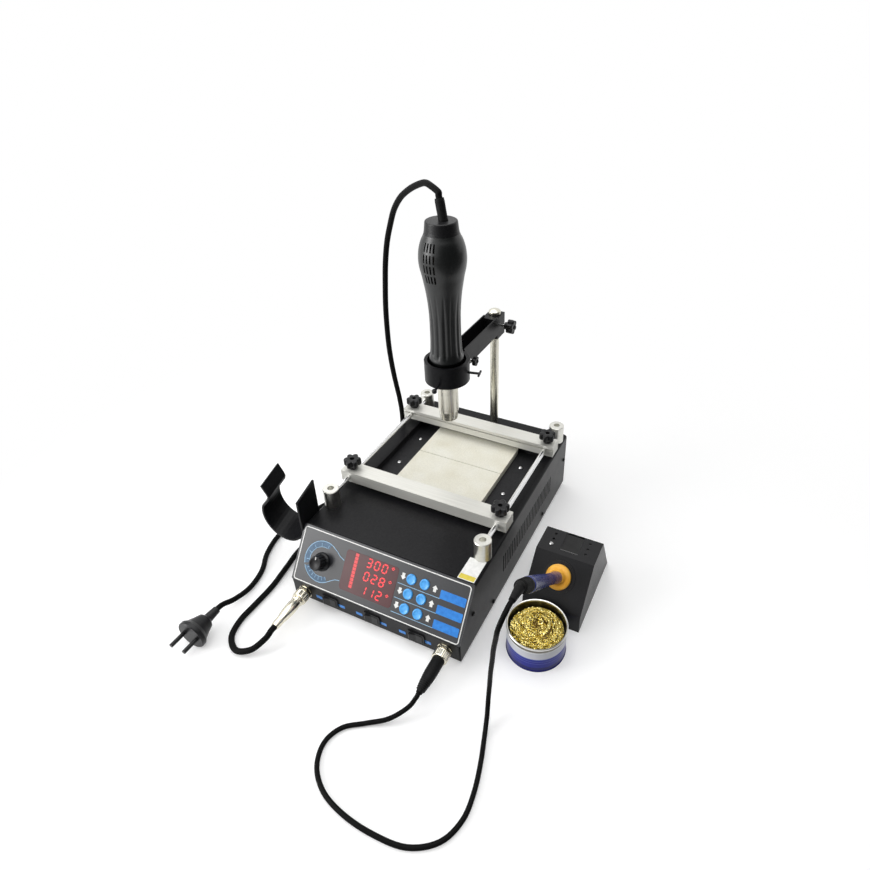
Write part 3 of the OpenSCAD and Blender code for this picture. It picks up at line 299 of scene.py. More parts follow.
def front_lead(name, route, diameter, stretches):
    """The pieces of a front lead: its hanging stretches, and the rest on the bench to its plug.

    A stretch is its label, the number of its last point on the route, and the two bodies that it joins.
    """
    path = rested(smooth_route(route), diameter)
    pieces, first = [], 0
    for label, end, pair in [*stretches, ("bench", len(route) - 1, None)]:
        last = end * LEAD_STEPS
        piece = tube(f"{name}_{label}", path, diameter, first, last)
        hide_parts(name)
        if pair:
            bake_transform(piece)
        else:
            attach(piece, "station")
        pieces.append(piece)
        first = last
    return pieces


# Plugs of the front leads, as (radius, distance from the socket)
NUT = [(6.2, 0), (8.3, 0), (8.9, 0.6), (9, 1.2), (9, 1.8), (9, 8.2), (9, 8.8), (8.6, 9.6), (7.2, 10.1),
       (6.9, 10.1)]
METAL_GRIP = [(6.9, 10.1), (7.2, 10.6), (7.2, 13), (6.6, 13.6), (6.6, 18), (6.9, 18.6), (6.9, 27),
              (6.4, 33), (5.7, 38), (5.1, 40), (5.1, 44), (4.9, 49), (4.5, PLUG_LEN)]
SLEEVE_RIBS = [(6.2 - 0.3 * i - 0.35 * (k in (1, 2)), 38.6 + 2.1 * i + 0.5 * k)
               for i in range(5) for k in range(4)]
RUBBER_GRIP = [(6.9, 10.1), (7.2, 10.4), (7.2, 12.6), (6.9, 12.8), (6.9, 14), (7.1, 14.4), (7.1, 27),
               (6.8, 33), (6.2, 38), *SLEEVE_RIBS, (3.7, 49.6), (3.5, PLUG_LEN)]


def knurl(a, r, z):
    """28 fine ridges round the rim of a plug's nut."""
    return r - 0.35 * (0.5 + 0.5 * cos(28 * a)) if r > 8.5 and 1 < z < 9 else r


def make_plug(name, x, grip_profile):
    """The plug of a front lead: a knurled nut, and a grip that narrows to the lead."""
    place = frame_at((x, PLUG_Y, SOCKET_Z), (0, -1, 0))
    nut = turned(name + "_nut", place, (NUT, 112, knurl))
    grip = turned(name + "_grip", place, (grip_profile, 48))
    for piece in (nut, grip):
        crisp(piece, 30)
        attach(piece, "station")
        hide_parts("lead_plugs")
    return nut, grip


def coil_turns():
    """The spare mains lead, wound from track to track, stepping over in the last part of each turn."""
    points, per_turn, step_over = [], 36, 0.28
    for i in range(int(COIL_TURNS * per_turn) + 1):
        turns = i / per_turn
        a = COIL_START + 2 * pi * turns
        k = min(int(turns), len(COIL_TRACKS) - 1)
        here, there = COIL_TRACKS[k], COIL_TRACKS[min(k + 1, len(COIL_TRACKS) - 1)]
        ease = max(0.0, (turns - k - 1 + step_over) / step_over)
        ease = ease * ease * (3 - 2 * ease)
        r, z = (h + (t - h) * ease for h, t in zip(here, there))
        points.append(Vector((COIL_X + r * cos(a), COIL_Y + r * sin(a), z)))
    return points


left_plug = make_plug("left_plug", -SOCKET_X, METAL_GRIP)
right_plug = make_plug("right_plug", SOCKET_X, RUBBER_GRIP)
leads = front_lead("gun_lead", [*straight(BOOT_TIP, BOOT_WAY), *GUN_HANG, *plug_approach(-1)], GUN_LEAD_D,
                   [("top", 8, ("gun", "arm")), ("shoulder", 13, ("arm", "collar")),
                    ("drop", 21, ("collar", "station"))])
leads += front_lead("iron_lead", [*straight(IRON_TAIL, IRON_TAIL_WAY), *IRON_HANG, *plug_approach(1)],
                    IRON_LEAD_D, [("drop", 10, ("iron", "station"))])

# Mains lead: from the gland on the rear wall to the coil, and from the coil along the left side to its plug
coil = coil_turns()
path = smooth_route([*straight(MAINS_EXIT, (0, 1, 0)), *MAINS_OUT, coil[0]])[:-1] + coil[:-1]
path = rested(path + smooth_route([coil[-1], *MAINS_RUN, MAINS_PLUG_END]), MAINS_LEAD_D)
mains = tube("mains_lead_coiled", path, MAINS_LEAD_D, 0, len(path) - 1)
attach(mains, "station")
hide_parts("mains_lead", "mains_coil")
leads.append(mains)


class Nodes:
    """Short calls for the nodes of a material or of the world."""

    # Sockets of a Mix node that mixes colours, by number because its sockets share their names
    MIX_A, MIX_B, MIX_RESULT = 6, 7, 2

    def __init__(self, tree):
        self.tree = tree

    def link(self, a, b):
        self.tree.links.new(a, b)

    def feed(self, socket, value):
        """Gives a socket a number, a colour or what another node puts out."""
        if isinstance(value, tuple):
            socket.default_value = (*value, 1)
        elif isinstance(value, (int, float)):
            socket.default_value = value
        else:
            self.link(value, socket)

    def node(self, kind, **fields):
        n = self.tree.nodes.new(kind)
        for key, value in fields.items():
            setattr(n, key, value)
        return n

    def fed(self, kind, *values, **fields):
        """What a new node puts out, its sockets fed in order."""
        n = self.node(kind, **fields)
        for socket, value in zip(n.inputs, values):
            self.feed(socket, value)
        return n.outputs[0]

    def calc(self, operation, *values):
        return self.fed("ShaderNodeMath", *values, operation=operation)

    def times(self, *values):
        return self.calc("MULTIPLY", *values)

    def between(self, value, low, high):
        """1 where a value lies between two numbers, and 0 elsewhere."""
        return self.times(self.calc("GREATER_THAN", value, low), self.calc("LESS_THAN", value, high))

    def fade(self, value, first, last, start, end):
        """A smooth change from start to end while a value goes from first to last."""
        ends = (first, last, start, end)
        return self.fed("ShaderNodeMapRange", value, *ends, interpolation_type="SMOOTHSTEP")

    def mix(self, factor, a, b, blend="MIX"):
        n = self.node("ShaderNodeMix", data_type="RGBA", blend_type=blend)
        for index, value in ((0, factor), (self.MIX_A, a), (self.MIX_B, b)):
            self.feed(n.inputs[index], value)
        return n.outputs[self.MIX_RESULT]


class Finish(Nodes):
    """A Principled material. Its textures lie in the part's own frame, in metres."""

    def __init__(self, name, roughness=0.5, metallic=0.0, specular=0.5):
        self.mat = bpy.data.materials.new(name)
        self.mat.use_nodes = True
        super().__init__(self.mat.node_tree)
        self.bsdf = self.tree.nodes["Principled BSDF"]
        self.set("Roughness", roughness)
        self.set("Metallic", metallic)
        self.set("Specular IOR Level", specular)
        self.height = None

    def set(self, socket, value):
        self.feed(self.bsdf.inputs[socket], value)

    def coords(self, stretch=(1, 1, 1)):
        mapping = self.node("ShaderNodeMapping")
        mapping.inputs["Scale"].default_value = stretch
        self.link(self.node("ShaderNodeTexCoord").outputs["Object"], mapping.inputs["Vector"])
        return mapping.outputs["Vector"]

    def axis(self, letter):
        split = self.node("ShaderNodeSeparateXYZ")
        self.link(self.coords(), split.inputs["Vector"])
        return split.outputs[letter]

    def noise(self, scale, detail=3, stretch=(1, 1, 1), rough=0.55):
        n = self.node("ShaderNodeTexNoise")
        for socket, value in (("Scale", scale), ("Detail", detail), ("Roughness", rough)):
            n.inputs[socket].default_value = value
        self.link(self.coords(stretch), n.inputs["Vector"])
        return n.outputs["Fac"]

    def ramp(self, factor, stops, interpolation="LINEAR"):
        """A ramp of (place, value) stops, each value a colour or a grey."""
        r = self.node("ShaderNodeValToRGB")
        r.color_ramp.interpolation = interpolation
        while len(r.color_ramp.elements) < len(stops):
            r.color_ramp.elements.new(0.5)
        for e, (place, value) in zip(r.color_ramp.elements, stops):
            e.position = place
            e.color = (*value, 1) if isinstance(value, tuple) else (value, value, value, 1)
        self.link(factor, r.inputs["Fac"])
        return r.outputs["Color"]

    def tones(self, factor, dark, light, light_at=0.7):
        """Colours the surface from dark to light with a texture."""
        colour = self.ramp(factor, [(0.3, dark), (light_at, light)])
        self.set("Base Color", colour)
        return colour

    def rough(self, factor, low, high):
        self.set("Roughness", self.calc("MULTIPLY_ADD", factor, high - low, low))

    def bump(self, factor, depth, strength=1.0):
        """Relief of a depth in millimetres, on top of any relief given before."""
        n = self.node("ShaderNodeBump")
        n.inputs["Distance"].default_value = depth * MM
        n.inputs["Strength"].default_value = strength
        self.link(factor, n.inputs["Height"])
        if self.height is not None:
            self.link(self.height, n.inputs["Normal"])
        self.height = n.outputs["Normal"]
        self.set("Normal", self.height)


def uneven(name, dark, light, patches, roughness=0.5, metallic=0.0, specular=0.5, gloss=None, grain=None):
    """A surface with changes of tone, and of gloss and relief where these are given.

    patches is a scale and detail, gloss a scale with the least and most roughness, grain a scale and depth.
    """
    f = Finish(name, roughness, metallic, specular)
    f.tones(f.noise(*patches), dark, light)
    if gloss:
        f.rough(f.noise(gloss[0], 2), *gloss[1:])
    if grain:
        f.bump(f.noise(grain[0], 2), grain[1])
    return f


def fine_black(name, dark, light, rough_low, rough_high, grain, depth, specular):
    """Black paint or plastic with a fine grain and uneven gloss. Its tones are given in thousandths."""
    f = Finish(name, specular=specular)
    dark, light = (tuple(c / 1000 for c in tone) for tone in (dark, light))
    f.tones(f.noise(grain * 0.35), dark, light, 0.75)
    f.rough(f.noise(45, 2), rough_low, rough_high)
    f.bump(f.noise(grain, 2), depth)
    return f


def brushed(name, dark, light, rough_low, rough_high, stretch, depth=0.02, metallic=1.0):
    """Bare metal with fine lines along one direction."""
    f = Finish(name, metallic=metallic)
    lines = f.noise(60, 6, stretch, 0.7)
    f.tones(lines, dark, light)
    f.rough(lines, rough_low, rough_high)
    f.bump(lines, depth, 0.6)
    return f


def make_screws():
    """Bright heads on the deck and the iron's stand, blackened heads on the housing's side walls."""
    f = brushed("screw_steel", 0.6, 0.82, 0.2, 0.34, (3, 3, 3))
    bright = f.bsdf.inputs["Base Color"].links[0].from_socket
    wall = f.between(f.calc("ABSOLUTE", f.axis("X")), (HOUSING_W / 2 - 0.5) * MM, (STAND_X - 30) * MM)
    f.set("Base Color", f.mix(wall, bright, (0.03, 0.03, 0.03)))
    return f


def make_ceramic():
    """Cream ceramic with a fine pressed grid, a speckled grain and a little toasting."""
    f = Finish("cream_ceramic", roughness=0.62, specular=0.3)
    grid_pitch = 3.0 * MM
    speckle = f.noise(700, 2)
    toast = [(0.3, (0.78, 0.75, 0.62)), (0.52, (0.85, 0.83, 0.72)), (0.75, (0.89, 0.88, 0.8))]
    grain = f.ramp(speckle, [(0.35, 0.9), (0.65, 1.0)])
    f.set("Base Color", f.mix(1.0, f.ramp(f.noise(22, 4), toast), grain, "MULTIPLY"))
    phases = [f.times(f.axis(letter), 2 * pi / grid_pitch) for letter in "XY"]
    f.bump(f.times(*(f.calc("SINE", phase) for phase in phases)), 0.1, 0.8)
    f.bump(speckle, 0.06, 0.6)
    return f


def make_glow(name, colour, strength):
    """A lit segment, a little uneven across."""
    f = Finish(name, 0.4)
    f.set("Emission Color", f.tones(f.noise(160, 2), tuple(c * 0.85 for c in colour), colour))
    f.set("Emission Strength", strength)
    return f


def make_ink(name, dark, light, roughness=0.35):
    """Printed ink with a slightly uneven film."""
    return uneven(name, dark, light, (240, 3), roughness, specular=0.4, grain=(2200, 0.006))


def make_tin():
    """Tinplate with a white and a blue printed band round the outside, and painted shade within."""
    f = Finish("printed_tin", roughness=0.28, metallic=1.0, specular=0.22)
    print_low, print_top, inner_shade_top = 0.4, 31.8, 36
    lines = f.noise(90, 4, (1, 1, 12))
    z = f.axis("Z")
    off = [f.calc("SUBTRACT", f.axis(letter), middle * MM) for letter, middle in zip("XY", (TIN_X, TIN_Y))]
    radius = f.calc("SQRT", f.calc("ADD", *(f.times(d, d) for d in off)))
    blue, pale_line = (0.014, 0.02, 0.26), (0.06, 0.08, 0.42)
    # The printed bands up the outside; the darker lowest stop, along the foot, is painted shade.
    bands = f.ramp(f.calc("DIVIDE", z, TIN_H * MM), [
        (0, (0.008, 0.01, 0.13)), (0.17, blue), (0.335, pale_line), (0.355, blue), (0.42, pale_line),
        (0.44, (0.016, 0.026, 0.28)), (0.52, (0.22, 0.28, 0.62)), (0.54, (0.62, 0.63, 0.68)),
        (0.78, (0.7, 0.71, 0.73))], "CONSTANT")
    outside = f.calc("GREATER_THAN", radius, (TIN_R - 1.3) * MM)
    banded = f.times(outside, f.between(z, print_low * MM, print_top * MM))
    # Within the wall, up to a little below the rim, the tin is given a dark tone: painted shade.
    painted_shade_inside = f.times(f.calc("LESS_THAN", radius, (TIN_R - 0.9) * MM),
                    f.calc("LESS_THAN", z, inner_shade_top * MM))
    bare = f.ramp(lines, [(0.3, (0.62, 0.62, 0.6)), (0.7, (0.8, 0.8, 0.77))])
    f.set("Base Color", f.mix(banded, f.mix(painted_shade_inside, bare, (0.16, 0.15, 0.13)), bands))
    f.set("Metallic", f.calc("SUBTRACT", 1.0, banded))
    f.bump(lines, 0.01)
    return f


def make_plain(name, dark, light, rough_low, rough_high, scale, metallic=0.0):
    """The finish of a piece that hardly shows."""
    return uneven(name, dark, light, (scale, 4), metallic=metallic, grain=(scale * 6, 0.03),
                  gloss=(scale * 0.6, rough_low, rough_high))


# Blacks: dark and light tone, least and most roughness, scale and depth of the grain, and specular level
paint = fine_black("black_paint", (6, 6, 7), (12, 12, 13), 0.28, 0.38, 1400, 0.03, 0.12)
stand_paint = fine_black("stand_paint", (3, 3, 4), (9, 9, 10), 0.32, 0.42, 2600, 0.05, 0.26)
deck_paint = fine_black("deck_paint", (8, 8, 9), (16, 16, 18), 0.4, 0.55, 1200, 0.03, 0.2)
film = fine_black("panel_film", (10, 11, 14), (16, 17, 21), 0.26, 0.34, 1800, 0.012, 0.65)
gun_plastic = fine_black("gun_plastic", (4, 5, 5), (8, 9, 9), 0.28, 0.36, 1500, 0.02, 0.6)
knob_plastic = fine_black("knob_plastic", (6, 6, 7), (11, 11, 12), 0.3, 0.44, 1200, 0.03, 0.28)
ring_paint = fine_black("ring_paint", (3, 3, 4), (7, 7, 8), 0.28, 0.42, 1400, 0.04, 0.14)
rubber = fine_black("black_rubber", (5, 5, 5), (10, 10, 10), 0.46, 0.62, 1100, 0.02, 0.12)
lead_skin = fine_black("lead_skin", (3, 3, 3), (6, 6, 6), 0.46, 0.58, 900, 0.006, 0.06)

# Metals: dark and light tone, least and most roughness, and how the lines are stretched
beam_metal = brushed("beam_aluminium", (0.6, 0.595, 0.55), (0.72, 0.715, 0.67), 0.44, 0.56,
                     (0.25, 12, 12), metallic=0.5)
post_metal = brushed("post_aluminium", (0.6, 0.595, 0.55), (0.76, 0.755, 0.71), 0.26, 0.38, (1, 1, 14))
pole_metal = brushed("pole_steel", (0.64, 0.62, 0.53), (0.74, 0.72, 0.63), 0.24, 0.3, (4, 4, 0.3), 0.002)
rod_metal = brushed("rod_steel", 0.72, 0.86, 0.16, 0.26, (10, 1, 10))
tube_metal = brushed("tube_steel", (0.5, 0.48, 0.41), (0.7, 0.68, 0.6), 0.16, 0.28, (1, 1, 14))
plated = brushed("plated_brass", (0.66, 0.62, 0.5), (0.82, 0.78, 0.66), 0.16, 0.28, (4, 4, 4))
screw_metal = make_screws()

ceramic = make_ceramic()
window_red = uneven("red_window", (0.05, 0.007, 0.009), (0.075, 0.012, 0.014), (25, 2), specular=0.45,
                    gloss=(40, 0.2, 0.28))
digit_glow = make_glow("digit_glow", (0.8, 0.035, 0.045), 0.75)
bar_glow = make_glow("bar_glow", (0.62, 0.06, 0.065), 0.4)
white_ink = make_ink("white_ink", (0.72, 0.72, 0.7), (0.86, 0.86, 0.84))
blue_ink = make_ink("blue_ink", (0.015, 0.17, 0.58), (0.03, 0.25, 0.72), 0.3)
pale_blue_ink = make_ink("pale_blue_ink", (0.22, 0.42, 0.62), (0.34, 0.55, 0.74))
dim_blue_ink = make_ink("dim_blue_ink", (0.035, 0.085, 0.15), (0.06, 0.13, 0.22))
yellow_ink = make_ink("yellow_ink", (0.62, 0.5, 0.05), (0.74, 0.62, 0.1))
button_blue = uneven("button_blue", (0.045, 0.31, 0.76), (0.1, 0.44, 0.9), (260, 2), 0.26,
                     grain=(1500, 0.01))
tin_finish = make_tin()
brass = uneven("brass_turnings", (0.88, 0.71, 0.2), (1.0, 0.93, 0.47), (500, 3), metallic=1.0,
               gloss=(700, 0.16, 0.34))
grip_blue = uneven("blue_grip", (0.01, 0.02, 0.165), (0.013, 0.028, 0.2), (120, 3), specular=0.6,
                   gloss=(160, 0.2, 0.26), grain=(1300, 0.005))
collar_yellow = uneven("yellow_collar", (0.86, 0.4, 0.03), (0.95, 0.52, 0.07), (90, 3), 0.38, specular=0.45,
                       grain=(900, 0.02))
board_green = make_plain("green_board", (0.01, 0.1, 0.035), (0.02, 0.17, 0.06), 0.3, 0.5, 120)
core_iron = make_plain("copper_iron", (0.2, 0.09, 0.03), (0.42, 0.2, 0.07), 0.3, 0.5, 150, 0.8)
bronze = make_plain("bronze", (0.45, 0.28, 0.1), (0.6, 0.4, 0.16), 0.25, 0.4, 200, 1.0)
dark_bronze = make_plain("dark_bronze", (0.012, 0.009, 0.006), (0.03, 0.022, 0.014), 0.4, 0.6, 200, 0.5)


def dress(obj, finish):
    """Gives an object one finish."""
    obj.data.materials.clear()
    obj.data.materials.append(finish.mat)


def fit(piece, finish, body, node=None, angle=None):
    """Finishes a new piece, crisp from an angle, puts it on its body and lets it stand for a node."""
    if angle:
        crisp(piece, angle)
    dress(piece, finish)
    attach(piece, body)
    if node:
        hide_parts(node)


for piece in leads:
    dress(piece, lead_skin)
for piece in (*left_plug, right_plug[0]):
    dress(piece, plated)
dress(right_plug[1], rubber)

# Finishes of the construction's own pieces, and the widths of the rounding along their edges in mm
ROCKERS = " rocker_gun rocker_heater rocker_iron"
CAD_FINISHES = [
    (paint, "base_tray top_cover gun_cradle arm_block arm_channel"), (stand_paint, "iron_stand"),
    (deck_paint, "heater_deck"), (ring_paint, "gun_ring"), (film, "front_panel"),
    (knob_plastic, "rocker_bezels iron_spring gun_cap mains_plug ring_screw_right ring_screw_left" + ROCKERS),
    (window_red, "display_window"), (rubber, "rubber_feet mains_gland gun_boot iron_boot"),
    (ceramic, "ceramic_plates"), (screw_metal, "screws"), (post_metal, "clamp_posts"),
    (rod_metal, "guide_rods iron_barrel"), (beam_metal, "front_beam back_beam"), (pole_metal, "pole"),
    (tube_metal, "air_tube"), (plated, "lead_sockets"), (tin_finish, "cleaning_tin"), (brass, "brass_wool"),
    (grip_blue, "iron_handle"), (collar_yellow, "iron_collar"), (core_iron, "transformer"),
    (board_green, "circuit_boards"), (bronze, "pole_bush"), (dark_bronze, "gun_core")]
ROUNDINGS = [
    (0.5, "front_beam back_beam iron_stand gun_cradle gun_ring"), (0.4, "arm_channel heater_deck"),
    (0.3, "rocker_bezels clamp_posts front_panel" + ROCKERS)]
for finish, names in CAD_FINISHES:
    for name in names.split():
        dress(nodes[name], finish)
        crisp(nodes[name])
for width, names in ROUNDINGS:
    for name in names.split():
        soft_edges(nodes[name], width)


# Star knobs
def make_star(name, place, d, h, hub, stud_from, stud_d=4):
    """Six rounded lobes round a dished top, with a hub and a steel stud below."""
    def lobes(a, r, z):
        if r < d * 0.3:
            return r
        wave = (0.5 + 0.5 * cos(6 * (a - radians(30)))) ** 0.65
        return r * (0.7 + 0.3 * wave)

    r = d / 2
    head = [(r * 0.8, 0), (r * 0.94, 0.5), (r, 1.5), (r, h - 2.0), (r * 0.97, h - 0.9), (r * 0.9, h - 0.25),
            (r * 0.78, h), (d * 0.17, h - 0.1), (d * 0.13, h - 0.6), (d * 0.12, h - 4), (0.2, h - 4)]
    neck = [(d * 0.2, -hub), (d * 0.25, -hub + 0.4), (d * 0.25, 0.6)]
    stud = [(stud_d / 2, stud_from), (stud_d / 2, -hub + 0.2)]
    moulding = turned(name + "_moulding", place, (head, 96, lobes), (neck, 40))
    fit(moulding, knob_plastic, name + "_body", name, 50)
    fit(turned(name + "_stud", place, (stud, 24)), rod_metal, name + "_body", name, 50)


for side, x in (("left", -POST_X), ("right", POST_X)):
    for row, y in (("front", FRONT_BEAM_Y), ("back", BACK_BEAM_Y)):
        make_star(f"{row}_{side}_star", Matrix.Translation((x, y, STAR_Z)), 22, 10, 4.9, -9)
for name, y, z, size in (("arm_knob", POLE_Y, ARM_KNOB_Z, (20, 9, 4, -11.8)),
                         ("ring_knob", RING_KNOB_Y, RING_KNOB_Z, (13, 4.5, 2, -13.8, 3))):
    make_star(name, frame_at((ARM_KNOB_X, y, z), (1, 0, 0), (0, 1, 0)), *size)


def knob_flutes(a, r, z):
    if z < 3.2 or r < 7.0 or z > 13.6:
        return r
    return r - 0.9 * max(0.0, cos(12 * a)) ** 3


# Air knob: a skirt, a fluted grip, a dished cap and a white pointer
place = on_panel(AIR_KNOB_X, AIR_KNOB_S)
body = [(10.2, 0.3), (11, 0.5), (11, 1.5), (10.6, 2.2), (9.4, 3.0), (9.1, 3.4), (9.0, 4.0), (8.9, 6),
        (8.7, 9), (8.5, 12.2), (8.4, 13.2), (8.1, 14.3), (7.4, 14.9), (6.6, 15.0), (6.1, 14.7),
        (5.6, 14.2), (0.2, 13.9)]
shaft = [(3.5, -7.8), (3.5, 0.5)]
knob = turned("air_knob_moulding", place, (body, 144, knob_flutes), (shaft, 32))
fit(knob, knob_plastic, "air_knob_body", "air_knob", 50)
square, faces = lathe([(0.65, 0), (0.65, 0.12), (0.5, 0.16)], 4, turn=pi / 4)
bar = [(x, y * 3.6, z) for x, y, z in square], faces
pointer = joined("air_knob_pointer", [placed(bar, place @ Matrix.Translation((0, 6.0, 14.85)))])
fit(pointer, white_ink, "air_knob_body", "air_knob")

# Buttons: a dished blue cap with a soft rim, over a flange behind the panel
BUTTON_CAP = [(0.2, -2.7), (6.0, -2.7), (6.0, 0.6), (5.85, 1.1), (5.4, 1.5), (4.9, 1.6), (4.4, 1.5),
              (3.8, 1.2), (2.6, 1.02), (0.2, 0.98)]
BUTTON_FLANGE = [(6.0, -2.7), (7.2, -2.7), (7.2, -1.7), (6.0, -1.7)]
for row, label in ((1, "air"), (0, "heat"), (-1, "iron")):
    for column, way in ((-0.5, "down"), (0.5, "up")):
        place = on_panel(BUTTON_X + column * BUTTON_PITCH, BUTTON_S + row * BUTTON_PITCH)
        name = f"button_{label}_{way}"
        cap = turned(name + "_cap", place, (BUTTON_CAP, 56), (BUTTON_FLANGE, 40))
        fit(cap, button_blue, name + "_body", name, 40)

# Printed marks: thin raised films on the panel, the strip and the cover
FILM_FOOT, FILM_TOP = 0.02, 0.1


def flat_part(outline, place, top=FILM_TOP):
    """A thin plate with a convex or star-shaped outline, its points in the plane of its place."""
    n = len(outline)
    middle = (sum(p[0] for p in outline) / n, sum(p[1] for p in outline) / n, top)
    verts = [(x, y, z) for z in (FILM_FOOT, top) for x, y in outline] + [middle]
    faces = skin(2, n, capped=False) + [[n + k, n + (k + 1) % n, 2 * n] for k in range(n)]
    return placed((verts, faces), place)


def band_part(line, width, place, closed=False):
    """A printed line of constant width along points in the plane of its place."""
    pts = [Vector(p) for p in line]
    n = len(pts)
    edges, faces = [], []
    for i, p in enumerate(pts):
        before = pts[(i - 1) % n] if closed or i else p
        after = pts[(i + 1) % n] if closed or i < n - 1 else p
        d = (after - before).normalized()
        side = Vector((-d.y, d.x)) * width / 2
        edges.append((p + side, p - side))
    verts = [(q.x, q.y, z) for z in (FILM_FOOT, FILM_TOP) for edge in zip(*edges) for q in edge]
    for i in range(n if closed else n - 1):
        j = (i + 1) % n
        faces += [[2 * n + i, 3 * n + i, 3 * n + j, 2 * n + j], [i, 2 * n + i, 2 * n + j, j],
                  [n + i, n + j, 3 * n + j, 3 * n + i]]
    return placed((verts, faces), place)


def around(r, turn):
    """The point on a circle at an angle."""
    return r * cos(radians(turn)), r * sin(radians(turn))


def arc(r, first, last, n):
    """The points that divide an arc between two angles, in degrees, into n steps."""
    return [around(r, first + (last - first) * i / n) for i in range(n + 1)]


def rounded_rect(w, h, r, steps=5):
    """The outline of a rectangle with round corners."""
    pts = []
    for turn, (sx, sy) in ((0, (1, 1)), (90, (-1, 1)), (180, (-1, -1)), (270, (1, -1))):
        pts += [(sx * (w / 2 - r) + x, sy * (h / 2 - r) + y) for x, y in arc(r, turn, turn + 90, steps)]
    return pts


def printed(name, parts, finish):
    """A printed piece on the station."""
    fit(joined(name, parts, smooth=False), finish, "station")


# Rows of the print beside the buttons, up the slope, and places of the small bars on the front strip
ARROW_ROWS, BAR_ROWS, LINE_ROWS = (49.8, 33.0, 16.6), (46.2, 29.4, 13.2), (41.2, 24.6, 8.4)
DOWN_ARROW_X, UP_ARROW_X, BAR_X, LINE_FROM, LINE_TO = 29, 69.2, 92, 24, 77
STRIP_BARS, STRIP_BAR_Z = (-75.5, -43, -18.6, 14.2, 39.3, 71.7), 16.5
ARROW = [(0, 3.9), (3.4, 0.2), (1.8, 0.2), (1.8, -3.6), (-1.8, -3.6), (-1.8, 0.2), (-3.4, 0.2)]
# Radii of the air scale: its outer line, its inner line, the ends of its ticks and the edges of its tint
SCALE_R, SCALE_INNER_R, TICK_FROM, TICK_TO, TINT_FROM, TINT_TO = 24, 17.2, 17.6, 21.4, 17.5, 23.6


def air_scale(at):
    """A ring that opens to two pointed tails on its right, with a shorter ring and ticks inside it."""
    upper = arc(SCALE_R, 200, 62, 30) + [(17.6, 17.4), (22.5, 13.4), (28.5, 11.0)]
    lower = arc(SCALE_R, 205, 298, 24) + [(17.4, -17.2), (22.5, -14.2), (28.5, -13.2)]
    lines = [band_part(upper, 0.7, at), band_part(lower, 0.7, at)]
    for first, last, n in ((205, 80, 26), (215, 285, 16)):
        lines.append(band_part(arc(SCALE_INNER_R, first, last, n), 0.5, at))
    for turn in [215 - 27.5 * k for k in range(6)] + [215 + 14 * k for k in range(1, 7)]:
        lines.append(band_part([around(TICK_FROM, turn), around(TICK_TO, turn)], 0.45, at))
    return lines


def scale_tint(at):
    """The dim fill between the scale's lines, in short plates."""
    plates = []
    for first, last, n in ((200, 70, 26), (208, 300, 18)):
        inner, outer = arc(TINT_FROM, first, last, n), arc(TINT_TO, first, last, n)
        plates += [flat_part([inner[i], outer[i], outer[i + 1], inner[i + 1]], at, 0.05) for i in range(n)]
    return plates


# Print on the panel and the strip
white = [band_part(rounded_rect(219, 63.7, 3), 1.1, on_panel(0, 33.35), closed=True)]
for s in ARROW_ROWS:
    white.append(flat_part([(x, -y) for x, y in ARROW], on_panel(DOWN_ARROW_X, s + 0.4)))
    white.append(flat_part(ARROW, on_panel(UP_ARROW_X, s - 0.4)))
printed("panel_white_print", white, white_ink)
bars = [flat_part(rounded_rect(31, 9.8, 1.0), on_panel(BAR_X, s)) for s in BAR_ROWS]
bars += [flat_part(rounded_rect(8.5, 5, 0.8), on_strip(x, STRIP_BAR_Z)) for x in STRIP_BARS]
printed("panel_blue_print", bars, blue_ink)
at = on_panel(AIR_KNOB_X, AIR_KNOB_S)
lines = [band_part([(LINE_FROM, s), (LINE_TO, s)], 0.6, on_panel(0, 0)) for s in LINE_ROWS]
printed("panel_pale_blue_print", lines + air_scale(at), pale_blue_ink)
printed("panel_dim_blue_print", scale_tint(at), dim_blue_ink)

# Display: figures of lit segments and a bar beside them, on the face of the tinted window
SEGMENTS = {"0": "abcdef", "1": "bc", "2": "abged", "3": "abgcd", "8": "abcdefg", "o": "abfg"}
# The two ends of each segment, as shares of half the figure's width and height
SEGMENT_ENDS = {
    "a": ((-1, 1), (1, 1)), "g": ((-1, 0), (1, 0)), "d": ((-1, -1), (1, -1)), "f": ((-1, 1), (-1, 0)),
    "b": ((1, 1), (1, 0)), "e": ((-1, 0), (-1, -1)), "c": ((1, 0), (1, -1))}
SEGMENT_GAP, FIGURE_LEAN, WINDOW_LIFT, LIT_TOP = 0.35, 0.12, 0.2, 0.06


def segment_figure(figure, x, s, w, h, place, thick=1.5):
    """The lit segments of a leaning figure with its middle at x and s."""
    parts = []
    for name in SEGMENTS[figure]:
        start, end = (Vector((ex * w / 2, ey * h / 2)) for ex, ey in SEGMENT_ENDS[name])
        along = (end - start).normalized()
        side, point = Vector((-along.y, along.x)) * thick / 2, along * thick / 2
        a, b = start + along * SEGMENT_GAP, end - along * SEGMENT_GAP
        outline = [a, a + point + side, b - point + side, b, b - point - side, a + point - side]
        parts.append(flat_part([(x + p.x + FIGURE_LEAN * p.y, s + p.y) for p in outline], place, LIT_TOP))
    return parts


# Figures of three rows with a small ring after each, and a bar of ten cells
at = on_panel(0, 0, WINDOW_LIFT)
figures = []
for text, s in (("300", 50.0), ("028", 34.4), ("112", 18.6)):
    for k, figure in enumerate(text):
        figures += segment_figure(figure, -15.5 + k * 10.2, s, 5.6, 9.6, at)
    figures += segment_figure("o", 15.0, s + 2.4, 3.0, 4.4, at, 1.1)
printed("display_figures", figures, digit_glow)
cell = rounded_rect(4.4, 3.6, 0.3)
bar = [flat_part(cell, on_panel(-33, 17.0 + k * 4.1, WINDOW_LIFT), LIT_TOP) for k in range(10)]
printed("display_bar", bar, bar_glow)

